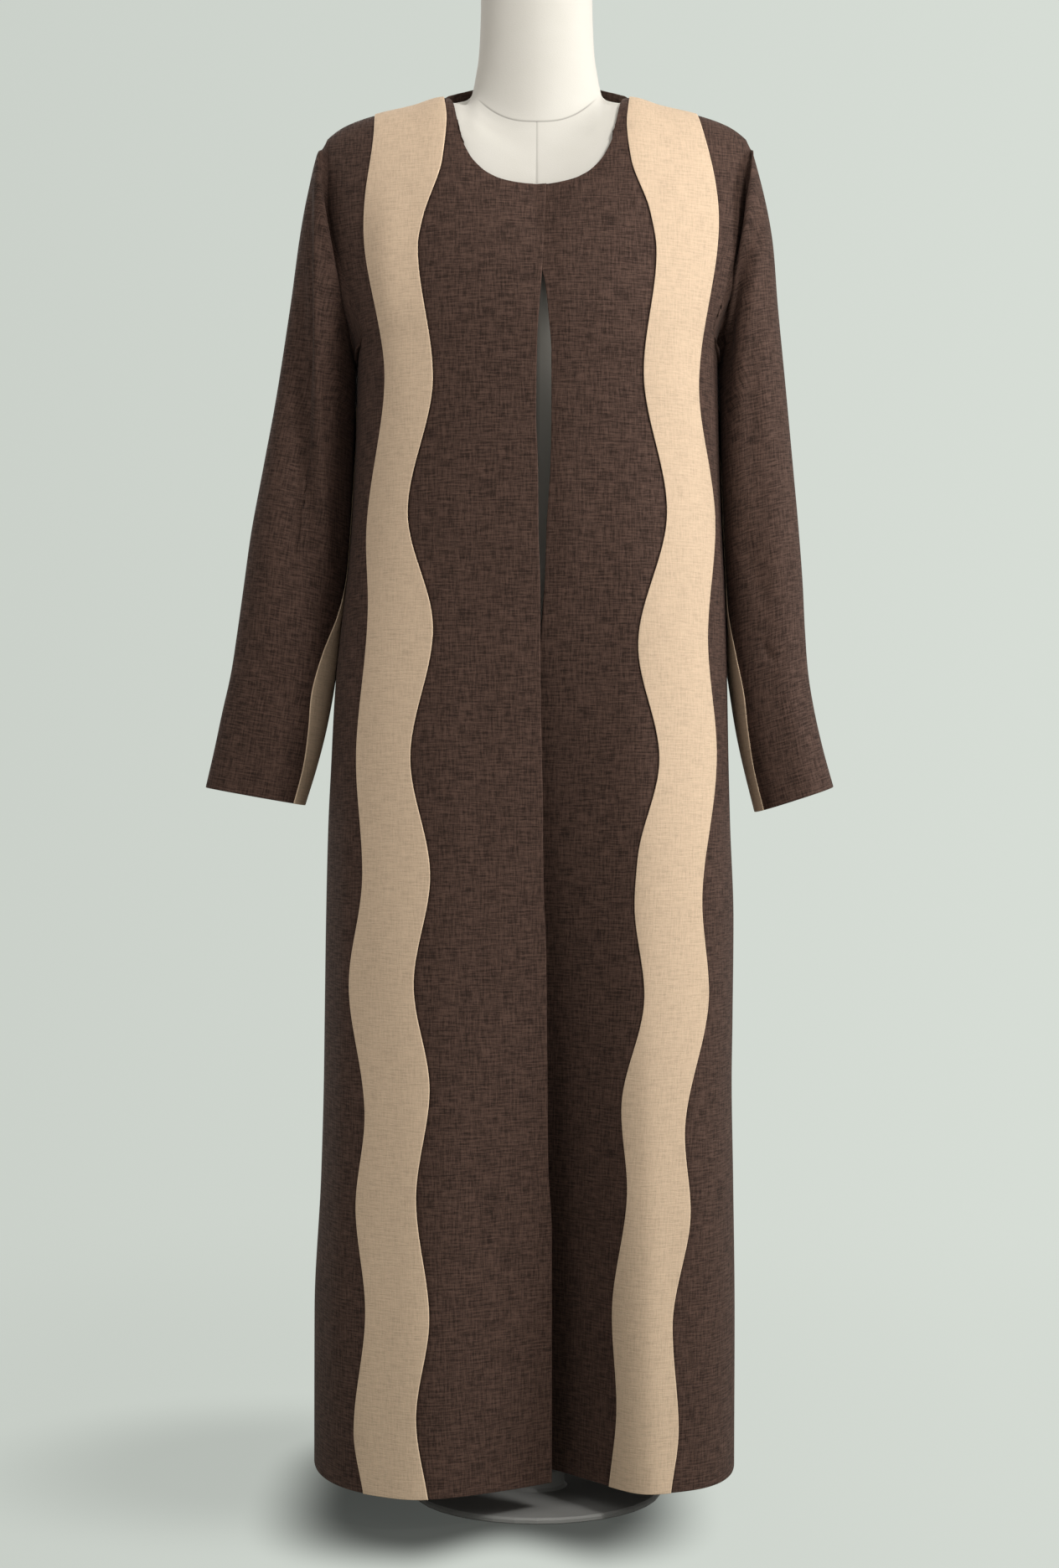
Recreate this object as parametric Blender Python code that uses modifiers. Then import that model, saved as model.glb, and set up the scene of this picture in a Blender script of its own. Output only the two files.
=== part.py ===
"""An open-front abaya cloak with wavy bands, hung on a limbless dress form with a round stand.

The front faces -Y and +Z is up. Right and left are the wearer's: right is at -X, left at +X.
Sizes and tables are in millimetres. Each cut piece is a grid of points on its outer surface, and its
wall is worked out along the normals of that grid. The stand's underside is at z = 0.
"""
import bpy
import numpy as np

MM = 0.001

# Cloth
CLOTH_WALL = 1.5  # body and sleeves, with the cloth's own loft
BAND_WALL = 1.0  # the lighter cloth of the bands
BAND_LIFT = 0.4  # a band's gap over the piece it lies on
SEAM_GAP = 0.5  # between two pieces that are sewn together
REST_GAP = 0.5  # between the cloth and the form under it

# Lengths of the cloak, as heights over the floor
HEM = 35.0
UNDERARM = 1187.0
NECK_POINT = 1459.0  # where the shoulder seam meets the neckline
NECK_POINT_OUT = 97.0
FRONT_NECK = 1347.0
BACK_NECK = 1487.0
BUST_LINE = 1200.0  # below it the fronts hang free
BLADE_LINE = 1280.0  # below it the back hangs free

# Stand
POLE_RADIUS = 16.0
POLE_TOP = 820.0
BASE_RADIUS = 130.0
BASE_THICK = 6.0
BOSS_RADIUS = 29.0
BOSS_TOP = 27.0
FIT = 0.4  # clearance of the pole in the form and in the boss
FORM_BOTTOM = 748.0
FORM_AROUND, BASE_AROUND = 40, 36
SHARP = 0.6  # edges that turn by more than this angle, in radians, are left sharp

# How finely each piece is cut into faces
INNER_SHARES = (0, 0.22, 0.45, 0.68, 0.88, 1.0)  # from the opening edge to the band
INNER_COLUMNS = len(INNER_SHARES) - 1
BAND_COLUMNS, OUTER_COLUMNS = 2, 5
YOKE_ROWS = tuple(k / 12 for k in range(12)) + (0.96, 1.0)
SKIRT_ROWS = 26
BACK_SKIRT_ROWS = 12
BACK_COLUMNS = (3, 7)  # behind the neck, and from there to the side
BAND_FIRST, BAND_LAST = 13, 18  # the sleeve columns between which its band lies

BODY_COLUMNS = ("height", "right_half", "left_half", "right_depth", "left_depth", "side_line",
                "right_square", "left_square", "back_depth", "back_square")
BODY = (
    (1600, 238, 238, 150, 150, 5, 2.30, 2.30, 112, 2.40),
    (1417, 235, 235, 150, 150, 5, 2.30, 2.30, 112, 2.40),
    (1379, 231, 231, 150, 150, 5, 2.30, 2.30, 112, 2.40),
    (1324, 225, 225, 150, 150, 6, 2.30, 2.30, 112, 2.40),
    (1280, 214.5, 214.5, 150, 150, 6, 2.40, 2.40, 112, 2.45),
    (1240, 203, 203, 150, 150, 7, 2.55, 2.55, 112.5, 2.55),
    (1207, 191.5, 191.5, 150, 150, 8, 2.75, 2.75, 113, 2.65),
    (1187, 186.5, 187.5, 150.3, 150.2, 8, 2.80, 2.80, 113.5, 2.70),
    (1100, 188.5, 190, 152, 151, 10, 2.80, 2.80, 116, 2.75),
    (1000, 193.5, 193.5, 154, 152, 12, 2.80, 2.85, 119, 2.80),
    (950, 198, 196, 155, 152.4, 13.5, 2.80, 2.87, 120.5, 2.80),
    (900, 204, 197.5, 156, 152.8, 15, 2.80, 2.90, 122, 2.85),
    (840, 210.5, 199, 157.3, 153.2, 17, 2.80, 2.92, 124, 2.85),
    (758, 215, 200.5, 160, 153.8, 19, 2.80, 2.95, 126.5, 2.90),
    (698, 218, 202, 161.5, 154, 21, 2.80, 3.00, 128, 2.90),
    (600, 220.5, 205.5, 165, 154.6, 24, 2.80, 3.10, 132, 2.95),
    (500, 222, 204.5, 169, 155, 27, 2.80, 3.20, 136, 3.00),
    (430, 223, 203.5, 172, 155.5, 29, 2.80, 3.30, 139.5, 3.05),
    (330, 226, 205, 176, 156, 32, 2.80, 3.40, 144, 3.10),
    (193, 233, 206.5, 181, 157, 36, 2.80, 3.50, 150, 3.15),
    (35, 238, 206, 186, 158, 40, 2.80, 3.60, 156, 3.20),
)

# The ridge of the shoulders: distance out from the centre, height. Inside the neckline it is a guide only.
FRONT_RIDGE = ((0, 1422), (50, 1447), (97, 1459), (130, 1450), (169, 1441), (200, 1430), (219, 1417),
               (240, 1392))
BACK_RIDGE = ((0, 1579), (35, 1558), (63, 1512), (97, 1459), (130, 1450), (169, 1441), (200, 1430), (219, 1417),
              (240, 1392))

# Neckline: share of its half length, distance out, height
FRONT_NECKLINE = ((0, 0, 1347), (0.10, 14, 1347.4), (0.16, 21, 1348), (0.29, 43, 1354.5), (0.41, 59, 1367),
                  (0.52, 71.3, 1382), (0.66, 78.5, 1404), (0.79, 82.2, 1427), (0.90, 85.3, 1446), (1, 97, 1459))
BACK_NECKLINE = ((0, 0, 1487), (0.35, 38, 1486.5), (0.62, 63, 1481), (0.83, 80, 1472), (1, 97, 1459))

# How far the middle of each front falls back behind its fold: height, right front, left front
CENTRE_FALL = ((1600, 0, 2.8), (1345, 0, 2.8), (1240, 0.5, 2.8), (1150, 1, 2.5), (1000, 3, 5), (900, 7, 11.5),
               (750, 17, 28), (600, 29, 48), (450, 43, 68), (300, 57, 86), (150, 71, 99), (35, 84, 108))

# The opening edges: height, x of the edge
RIGHT_EDGE = ((1347, 9.4), (1265, 5.9), (1229, 3.3), (1177, 0), (1102, -0.9), (1061, 0.8), (988, 1.6), (928, 3.3),
              (855, 3.4), (720, 5.8), (634, 6.7), (576, 9.2), (504, 10.1), (350, 11.8), (292, 15.2), (35, 15.4))
LEFT_EDGE = ((1347, 6.6), (1300, 5.2), (1265, 4.2), (1253, 4.8), (1242, 7.5), (1222, 10), (1203, 11.6), (1169, 14.1),
             (1110, 14.1), (1061, 13.3), (989, 9.1), (957, 8.3), (916, 5.8), (880, 3), (800, -3), (600, -10),
             (400, -17), (200, -23), (35, -28))

# The waves of the bands: each row is a turning of the edge, height and distance out from the centre
RIGHT_BAND_INNER = ((1459, 97), (1422, 92.6), (1374, 95.8), (1308, 114.8), (1280, 119.2), (1145, 103.4),
                    (1011, 128.7), (895, 103.2), (766, 125.7), (649, 105.9), (541, 122.1), (438, 106.2),
                    (330, 119.4), (212, 106.5), (114, 119.2), (35, 107.6))
RIGHT_BAND_OUTER = ((1441, 169), (1415, 168), (1306, 177), (1153, 152.5), (985, 172), (922, 169.6), (765, 180.7),
                    (650, 174.3), (538, 186.6), (408, 171.6), (317, 180.3), (215, 170.7), (94, 182.3), (35, 172.5))
LEFT_BAND_INNER = ((1459, 97), (1414, 92), (1374, 95.3), (1315, 113.8), (1275, 119.4), (1150, 105.9),
                   (1012, 129.3), (878, 100.3), (765, 121.4), (666, 99.9), (620, 97), (530, 106.5), (415, 85.2),
                   (336, 91), (208, 76.4), (118, 81), (35, 73))
LEFT_BAND_OUTER = ((1441, 167), (1318, 185), (1141, 162.6), (1005, 180.8), (887, 171.9), (773, 181.1),
                   (621, 164.5), (531, 171), (390, 147.1), (313, 153), (199, 134.9), (97, 141.3), (35, 133))

# Armhole edge: share down from the shoulder, height, front share of the half width, back share
ARMHOLE = ((0, 1417, 0.932, 0.932), (0.35, 1379, 0.9385, 0.944), (0.6, 1324, 0.952, 0.955),
           (0.75, 1280, 0.951, 0.955), (0.85, 1240, 0.941, 0.95), (0.92, 1210, 0.939, 0.949),
           (0.96, 1196, 0.957, 0.962), (1, 1187, 1, 1))

# Sleeves, a row for each ring: outer edge x and height, inner edge x and height, front y, back y,
# squareness of the corner at the inner front
RIGHT_SLEEVE = (
    (-233, 1396, -188, 1176, -60, 60, 2.4),
    (-239, 1360, -187, 1158, -64, 62, 2.6),
    (-246.5, 1318, -187, 1136, -65, 63, 3.0),
    (-258, 1240, -187, 1104, -64, 62, 3.4),
    (-272.5, 1143, -188, 1060, -62, 59, 3.6),
    (-286, 1070, -190, 1008, -59, 56, 3.6),
    (-299, 1000, -196, 955, -56, 52, 3.2),
    (-306, 950, -202, 915, -53, 49, 2.6),
    (-313, 900, -209, 870, -50, 45, 2.2),
    (-320, 855, -215.5, 830, -47, 42, 2.2),
    (-329, 815, -222.5, 793, -44, 38, 2.3),
    (-337.5, 775, -232, 756, -41, 34, 2.4),
    (-346.4, 736.5, -243.7, 718, -38, 30, 2.5),
)
LEFT_SLEEVE = (
    (233, 1396, 188, 1176, -60, 60, 2.4),
    (238.5, 1356, 187.5, 1158, -64, 62, 2.6),
    (245.4, 1314, 188, 1136, -66, 64, 3.0),
    (252, 1238, 188.5, 1104, -66, 64, 3.4),
    (260.5, 1150, 189, 1060, -65, 62, 3.6),
    (267.5, 1075, 191, 1008, -63, 60, 3.6),
    (274.3, 1000, 194, 955, -61, 58, 3.4),
    (278, 950, 197, 915, -59, 55, 3.2),
    (280.5, 900, 200, 870, -57, 52, 3.0),
    (284, 855, 205, 830, -54, 48, 2.8),
    (290, 818, 210.5, 793, -52, 44, 2.6),
    (299, 778, 218.5, 755, -50, 40, 2.6),
    (310.3, 737, 229.5, 711, -48, 37, 2.6),
)
SLEEVE_STEP = 6.0  # the sleeve leaves the armhole straight out for this far
SLEEVE_CLEAR = (0.8, 2.4)  # how near the sleeve lies to the body, in front of its band and at its band
# The sleeve bands, for each ring from the armhole: the angle of the front and the back edge, with 0 at the
# outer edge of the sleeve, 90 at its front and 180 at its inner edge
SLEEVE_BAND = ((167, 231), (167, 231), (168, 233), (171, 235), (177, 233), (182, 229), (176, 233), (168, 240),
               (172, 238), (168, 229), (150, 230), (150, 238), (156, 235), (159, 227), (158, 231))
SLEEVE_BAND_START = 4  # the ring at which the band's upper end is tucked in under the arm

# The form, a row for each ring from the neck down: front y and height, side x and height, back y and height,
# squareness. A side height of 0 follows the shoulder ridge of the cloak.
FORM = (
    (-44, 1590, 55, 1590, 54, 1590, 2.0),
    (-47.5, 1586, 58, 1586, 57, 1586, 2.0),
    (-48, 1540, 58.5, 1545, 58, 1550, 2.0),
    (-50, 1480, 60, 1510, 60, 1522, 2.0),
    (-53, 1445, 62.5, 1488, 63, 1508, 2.0),
    (-58, 1420, 66.5, 1472, 66, 1496, 2.0),
    (-69, 1398, 84, 0, 71, 1478, 2.0),
    (-81, 1373, 108, 0, 79, 1448, 2.05),
    (-93, 1346, 136, 0, 88, 1412, 2.1),
    (-103, 1319, 164, 0, 95, 1376, 2.15),
    (-111, 1292, 184, 1427, 100, 1342, 2.2),
    (-118, 1265, 192, 1404, 103, 1308, 2.25),
    (-123, 1238, 186, 1362, 104, 1276, 2.3),
    (-127, 1210, 168, 1304, 103, 1244, 2.35),
    (-128, 1184, 153, 1244, 100, 1206, 2.4),
    (-122, 1148, 144, 1184, 94, 1154, 2.4),
    (-108, 1092, 127, 1104, 82, 1094, 2.35),
    (-102, 1045, 118, 1045, 76, 1045, 2.3),
    (-107, 990, 132, 990, 87, 990, 2.3),
    (-114, 930, 152, 930, 102, 930, 2.3),
    (-116, 870, 163, 870, 110, 870, 2.3),
    (-113, 810, 160, 810, 106, 810, 2.3),
    (-108, 764, 153, 764, 100, 764, 2.3),
    (-102, 751, 146, 751, 94, 751, 2.3),
    (-92, 748, 136, 748, 85, 748, 2.3),
)
BUST_OUT = 0.56  # angle of each bust point from the front, in radians
BUST_SPREAD = 0.36
BUST_RISE = 13.0
BUST_HEIGHT, BUST_TALL = 1196.0, 62.0

COLOURS = {
    "dark_linen": (0.105, 0.066, 0.053),
    "beige_linen": (0.72, 0.56, 0.41),
    "form_cover": (0.80, 0.78, 0.72),
    "stand_paint": (0.78, 0.77, 0.73),
}


def through(rows, column, at):
    """A smooth curve through one column of a table, over its first column. It is flat where the column turns."""
    table = np.asarray(rows, float)
    table = table[np.argsort(table[:, 0])]
    knot, value = table[:, 0], table[:, column]
    step = np.diff(knot)
    rate = np.diff(value) / step
    slope = np.zeros_like(value)
    before, after = rate[:-1], rate[1:]
    same = before * after > 0
    first = (2 * step[1:] + step[:-1])[same]
    second = (step[1:] + 2 * step[:-1])[same]
    inner = np.zeros_like(before)
    inner[same] = (first + second) / (first / before[same] + second / after[same])
    slope[1:-1] = inner
    slope[0], slope[-1] = rate[0], rate[-1]
    at = np.clip(np.asarray(at, float), knot[0], knot[-1])
    i = np.clip(np.searchsorted(knot, at, side="right") - 1, 0, len(knot) - 2)
    t = (at - knot[i]) / step[i]
    return (
        (2 * t**3 - 3 * t**2 + 1) * value[i]
        + (t**3 - 2 * t**2 + t) * step[i] * slope[i]
        + (3 * t**2 - 2 * t**3) * value[i + 1]
        + (t**3 - t**2) * step[i] * slope[i + 1]
    )


def body(name, height):
    return through(BODY, BODY_COLUMNS.index(name), height)


def mix(a, b, share):
    return a + (b - a) * share


def shoulder_fall(drop):
    """Share of the full depth reached at a share of the way down from the shoulder ridge."""
    drop = np.clip(drop, 0, 1)
    return (1 - (1 - drop) ** 1.6) ** 0.56


def hinge(t, softness):
    return 0.5 * (t + np.sqrt(t * t + softness * softness))


def half_width(x, height):
    return np.where(x < 0, body("right_half", height), body("left_half", height))


def front_y(x, height, side):
    """The outer surface of a front, side -1 for the wearer's right and +1 for the left."""
    x, height = np.asarray(x, float), np.asarray(height, float)
    square = np.where(x < 0, body("right_square", height), body("left_square", height))
    depth = body("right_depth" if side < 0 else "left_depth", height)
    line = body("side_line", height)
    share = np.clip(np.abs(x) / half_width(x, height), 0, 1)
    across = np.clip(1 - share**square, 0, 1) ** (1 / square)
    ridge = through(FRONT_RIDGE, 1, np.abs(x))
    y = line - (depth + line) * across * shoulder_fall((ridge - height) / (ridge - BUST_LINE))
    if side < 0:
        fold = np.minimum(hinge((x + 135) / 150 - 0.02, 0.12) ** 1.25, 1.3)
        return y + through(CENTRE_FALL, 1, height) * fold
    fold = 1.12 - hinge(1.12 - hinge((104 - x) / 88, 0.16), 0.12)
    edge_only = np.exp(-(((x - 8) / 14) ** 2))
    high = np.clip((height - 900) / 150, 0, 1)
    high = high * high * (3 - 2 * high)
    return y + through(CENTRE_FALL, 2, height) * mix(fold, edge_only, high)


def back_y(x, height):
    x, height = np.asarray(x, float), np.asarray(height, float)
    square = body("back_square", height)
    line = body("side_line", height)
    share = np.clip(np.abs(x) / half_width(x, height), 0, 1)
    across = np.clip(1 - share**square, 0, 1) ** (1 / square)
    ridge = through(BACK_RIDGE, 1, np.abs(x))
    fall = shoulder_fall((ridge - height) / (ridge - BLADE_LINE))
    return line + (body("back_depth", height) - line) * across * fall


def turn_at(x, height, square):
    """The turn round the section, 0 at the middle and a right angle at the side, for a place on it."""
    share = np.clip(np.abs(x) / half_width(x, height), 0, 1)
    return np.arcsin(share ** (square / 2))


def wrap_block(first, side, rows, columns, back):
    """Columns from a first line of (x, height) round to the armhole and the side seam. Returns x and height."""
    yoke = np.asarray(rows["yoke"])
    edge_height = np.concatenate([through(ARMHOLE, 1, yoke), rows["skirt"]])
    edge_share = np.concatenate([through(ARMHOLE, 3 if back else 2, yoke), np.ones(len(rows["skirt"]))])
    down = np.concatenate([yoke**1.8, np.ones(len(rows["skirt"]))])
    square_name = "back_square" if back else ("right_square" if side < 0 else "left_square")
    first_x, first_height = first
    x = np.zeros((len(down), columns + 1))
    height = np.zeros_like(x)
    first_turn = turn_at(side * np.abs(first_x), first_height, body(square_name, first_height))
    edge_turn = np.arcsin(np.clip(edge_share, 0, 1) ** (body(square_name, edge_height) / 2))
    for k in range(columns + 1):
        share = k / columns
        turn = mix(first_turn, edge_turn, share)
        high = mix(first_height, edge_height, share)

        def out_at(level):
            return half_width(np.full_like(level, side), level) * np.sin(turn) ** (2 / body(square_name, level))

        ridge = through(FRONT_RIDGE, 1, out_at(high)[0])
        high = high + (1 - down) * (ridge - high[0])
        x[:, k] = side * out_at(high)
        height[:, k] = high
    x[:, 0], height[:, 0] = first_x, first_height
    return x, height


def front_piece(side, yoke, skirt_rows, columns):
    """Grid of points of one front, rows down from the neckline and shoulder, columns from the opening edge to the
    side, and the columns between which the band lies."""
    inner, middle, outer = columns
    skirt = mix(UNDERARM, HEM, (np.arange(skirt_rows) + 1) / skirt_rows)
    yoke = np.asarray(yoke)
    down = np.concatenate([yoke**1.8, np.ones(skirt_rows)])
    edge_rows = RIGHT_EDGE if side < 0 else LEFT_EDGE
    band_in = RIGHT_BAND_INNER if side < 0 else LEFT_BAND_INNER
    band_out = RIGHT_BAND_OUTER if side < 0 else LEFT_BAND_OUTER

    def heights_from(top):
        return np.concatenate([mix(top, UNDERARM, yoke**1.8), skirt])

    high_edge, high_in, high_out = (heights_from(top) for top in (FRONT_NECK, NECK_POINT, 1441.0))
    x_edge = through(edge_rows, 1, high_edge)
    x_in = side * through(band_in, 1, high_in)
    x_out = side * through(band_out, 1, high_out)
    x = np.zeros((len(down), inner + middle + outer + 1))
    height = np.zeros_like(x)
    for k, share in enumerate(INNER_SHARES):
        top_x = side * through(FRONT_NECKLINE, 1, share) + x_edge[0] * (1 - share) ** 3
        top_height = through([(row[1], row[2]) for row in FRONT_NECKLINE], 1, abs(top_x))
        height[:, k] = heights_from(top_height)
        lean = mix(x_edge, x_in, share)
        x[:, k] = lean + (1 - down) ** 2 * (top_x - lean[0])
    for k in range(middle + 1):
        share = k / middle
        across = mix(x_in, x_out, share)
        ridge = through(FRONT_RIDGE, 1, abs(across[0]))
        x[:, inner + k] = across
        height[:, inner + k] = heights_from(ridge)
    x[:, inner + middle:], height[:, inner + middle:] = wrap_block(
        (x_out, high_out), side, {"yoke": yoke, "skirt": skirt}, outer, False
    )
    y = front_y(x, height, side) - SEAM_GAP / 2
    return np.dstack([x, y, height]), (inner, inner + middle)


def back_piece(yoke, skirt_rows, columns):
    """Grid of the back, columns from the right side to the left side, through the centre back."""
    neck, outer = columns
    skirt = mix(UNDERARM, HEM, (np.arange(skirt_rows) + 1) / skirt_rows)
    yoke = np.asarray(yoke)
    down = np.concatenate([yoke**1.8, np.ones(skirt_rows)])
    halves = []
    for side in (-1, 1):
        line_height = np.concatenate([mix(NECK_POINT, UNDERARM, yoke**1.8), skirt])
        line_x = mix(NECK_POINT_OUT, 108.0, np.clip((NECK_POINT - line_height) / (NECK_POINT - HEM), 0, 1))
        x = np.zeros((len(down), neck + outer + 1))
        height = np.zeros_like(x)
        for k in range(neck):
            share = k / neck
            top_x, top_height = through(BACK_NECKLINE, 1, share), through(BACK_NECKLINE, 2, share)
            height[:, k] = np.concatenate([mix(top_height, UNDERARM, yoke**1.8), skirt])
            x[:, k] = side * (line_x * share + (1 - down) ** 2 * (top_x - line_x[0] * share))
        x[:, neck:], height[:, neck:] = wrap_block(
            (side * line_x, line_height), side, {"yoke": yoke, "skirt": skirt}, outer, True
        )
        y = back_y(x, height) + SEAM_GAP / 2
        halves.append(np.dstack([x, y, height]))
    return np.concatenate([halves[0][:, :0:-1], halves[1]], axis=1)


def unit(vector):
    return vector / np.maximum(np.linalg.norm(vector, axis=-1, keepdims=True), 1e-9)


def beyond_edge(grid, rows, inward):
    """The edge points of the first rows of a grid's last column, moved out of the piece by the seam gap."""
    edge = grid[: rows + 1, -1]
    along = np.gradient(edge, axis=0)
    along[-1] = (0, 1 if inward[1] < 0 else -1, 0)
    out = edge - grid[1 : rows + 2, -2]
    along = unit(along)
    out = unit(out - (out * along).sum(axis=1, keepdims=True) * along)
    lower = np.clip(np.arange(rows + 1) - rows + 5, 0, 4) / 4
    clear = np.column_stack([0.9 * lower * np.sign(edge[:, 0]), 0 * lower, 0.9 * lower])
    return edge + SEAM_GAP * out + clear


def armhole_ring(front, back_half, yoke_rows):
    """The sleeve's first ring, from the shoulder down the front of the armhole and up its back."""
    last = yoke_rows - 1
    ahead = beyond_edge(front, last, (0, -1))
    behind = beyond_edge(back_half, last, (0, 1))
    shoulder = (ahead[0] + behind[0]) / 2
    under = (ahead[-1] + behind[-1]) / 2
    return np.concatenate([[shoulder], ahead[1:-1], [under], behind[-2:0:-1]])


def body_reach(y, height, side):
    """How far out the body of the cloak comes at a place beside it. It is nought where there is no body."""
    line = body("side_line", height)
    ahead = y < line
    front_name, square_name = ("right_depth", "right_square") if side < 0 else ("left_depth", "left_square")
    depth = np.where(ahead, body(front_name, height) + line, body("back_depth", height) - line)
    square = np.where(ahead, body(square_name, height), body("back_square", height))
    share = np.clip(np.abs(y - line) / depth, 0, 1)
    reach = half_width(np.full_like(y, side), height) * (1 - share**square) ** (1 / square)
    return np.where(height < UNDERARM + 2, reach, 0)


def sleeve_ring(row, turns, side):
    out_x, out_high, in_x, in_high, front, back, corner = row
    middle = np.array([(out_x + in_x) / 2, 0, (out_high + in_high) / 2])
    reach = np.array([(out_x - in_x) / 2, 0, (out_high - in_high) / 2])
    turn = np.radians(turns)
    c, s = np.cos(turn), np.sin(turn)
    inner_front = (turns > 90) & (turns <= 180)
    square = np.where(inner_front, corner, 2.2)
    level = (front + back) / 2 * 0.3
    depth = np.where(s > 0, level - front, back - level)
    points = middle + reach * (np.sign(c) * np.abs(c) ** (2 / square))[:, None]
    points[:, 1] = level - depth * np.sign(s) * np.abs(s) ** (2 / square)
    clear = np.interp(turns, [130, 165, 240, 260], [SLEEVE_CLEAR[0], SLEEVE_CLEAR[1], SLEEVE_CLEAR[1],
                                                   SLEEVE_CLEAR[0]])
    nearest = body_reach(points[:, 1], points[:, 2], side) + clear
    points[:, 0] = side * np.maximum(np.abs(points[:, 0]), nearest)
    return points


def sleeve_piece(rings, first_ring, around, side):
    """Grid of a sleeve, a row for each ring from the armhole to the cuff, closed round."""
    start = np.linspace(0, 360, around, endpoint=False)
    top = np.maximum(np.cos(np.radians(start)), 0)
    stepped = first_ring + np.column_stack([np.full(around, side * SLEEVE_STEP), 0 * top, -0.6 - 3 * top])
    rows = [first_ring, stepped]
    for k, ring in enumerate(rings):
        front_edge, back_edge = SLEEVE_BAND[k + 2]
        even = np.interp(np.arange(around), [0, BAND_FIRST, BAND_LAST, around], [0, front_edge, back_edge, 360])
        rows.append(sleeve_ring(ring, mix(start, even, min(1.0, (k + 1) / 4)), side))
    return np.array(rows)


def normals_of(grid, side, closed=False):
    """Unit normals of a grid, outwards. Columns run towards the side, so the two sides turn opposite ways."""
    if closed:
        wide = np.concatenate([grid[:, -1:], grid, grid[:, :1]], axis=1)
        across = (wide[:, 2:] - wide[:, :-2]) / 2
    else:
        across = np.gradient(grid, axis=1)
    return side * unit(np.cross(np.gradient(grid, axis=0), across))


def turned(face):
    """The same face seen from its other side, still split along the same diagonal."""
    return face[:1] + face[:0:-1]


def faces_of(rows, columns, closed, flipped):
    """The quads of a grid, numbered row by row."""
    faces = []
    for i in range(rows - 1):
        for j in range(columns if closed else columns - 1):
            k = (j + 1) % columns
            quad = (i * columns + j, (i + 1) * columns + j, (i + 1) * columns + k, i * columns + k)
            faces.append(turned(quad) if flipped else quad)
    return faces


def level_seams(normals, places):
    """Turns the wall at a seam into the seam's own plane, so that two pieces meet edge to edge."""
    for rows, columns in places:
        normals[rows, columns, 1] = 0
        normals[rows, columns] = unit(normals[rows, columns])
    return normals


def cloth(name, grid, normals, inside, outside, slot, closed=False, flipped=False):
    """A closed wall between two distances from a grid along its normals, with its rims."""
    rows, columns = grid.shape[:2]
    count = rows * columns
    points = np.concatenate([(grid + normals * d).reshape(-1, 3) for d in (outside, inside)])
    skin = faces_of(rows, columns, closed, flipped)
    faces = skin + [tuple(count + v for v in turned(face)) for face in skin]
    rims = [[j for j in range(columns)], [(rows - 1) * columns + j for j in range(columns)][::-1]]
    if closed:
        rims = [line + line[:1] for line in rims]
    else:
        rims += [[i * columns for i in range(rows)][::-1], [i * columns + columns - 1 for i in range(rows)]]
    for line in rims:
        for a, b in zip(line, line[1:]):
            quad = (a, b, b + count, a + count)
            faces.append(turned(quad) if flipped else quad)
    mesh = bpy.data.meshes.new(name)
    mesh.from_pydata((points * MM).tolist(), [], faces)
    for polygon in mesh.polygons[: 2 * len(skin)]:
        polygon.use_smooth = True
    return place(name, mesh, slot)


def place(name, mesh, slot):
    obj = bpy.data.objects.new(name, mesh)
    mesh.materials.append(materials[slot])
    collection.objects.link(obj)
    return obj


def cloak_above(x, y):
    """Height of the cloak's outer surface over a place on the shoulders."""
    out = np.abs(x)
    line = 5.0
    ahead = y < line
    ridge = np.where(ahead, through(FRONT_RIDGE, 1, out), through(BACK_RIDGE, 1, out))
    level = np.where(ahead, BUST_LINE, BLADE_LINE)
    depth = np.where(ahead, 150.0 + line, 112.0 - line)
    square = np.where(ahead, 2.3, 2.4)
    share = np.clip(out / 235, 0, 0.999)
    reach = depth * (1 - share**square) ** (1 / square)
    fall = np.clip(np.abs(y - line) / reach, 0, 1)
    drop = 1 - (1 - fall ** (1 / 0.56)) ** (1 / 1.6)
    return ridge - drop * (ridge - level)


def under_cloak(x, y, height):
    """Heights of places on the form, lowered where they would come too near the cloth over them."""
    out, away = np.abs(x), np.abs(y - 5)
    room = CLOTH_WALL + REST_GAP + np.where(y > 5, np.minimum(away * 0.16, 8.0), np.minimum(away * 0.10, 4.0))
    room = room + 3.4 * np.exp(-(((out - 88) / 12) ** 2)) * np.clip(away / 6, 0, 1)
    room = room + 1.3 * np.exp(-(((out - 116) / 14) ** 2))
    room = room + np.clip((out - 118) * 0.2, 0, 7) * np.clip(away / 40, 0, 1)
    neck = through([(row[1], row[2]) for row in FRONT_NECKLINE], 1, out)
    covered = (y > 5) | (out > 62) | (height < neck + 4)
    under = cloak_above(x, y) - room
    return np.where(covered & (away < 100) & (height > 1290), np.minimum(height, under), height)


def form_rings():
    turns = np.linspace(0, 2 * np.pi, FORM_AROUND, endpoint=False)
    rings = []
    for front, front_high, side, side_high, back, back_high, square in FORM:
        s, c = np.sin(turns), np.cos(turns)
        x = side * np.sign(s) * np.abs(s) ** (2 / square)
        deep = np.where(c > 0, -front, back)
        y = -deep * np.sign(c) * np.abs(c) ** (2 / square)
        follows = side_high == 0
        if follows:
            side_high = float(through(FRONT_RIDGE, 1, side)) - CLOTH_WALL - REST_GAP
        end_high = np.where(c > 0, front_high, back_high)
        height = mix(end_high, side_high, np.abs(s) ** 1.7)
        away = np.minimum(np.abs(turns - BUST_OUT), np.abs(2 * np.pi - turns - BUST_OUT))
        bust = BUST_RISE * np.exp(-((away / BUST_SPREAD) ** 2) - ((height - BUST_HEIGHT) / BUST_TALL) ** 2)
        y = y - bust
        if front_high < 1430:
            height = under_cloak(x, y, height)
        rings.append(np.column_stack([x, y, height]))
    return rings


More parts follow.
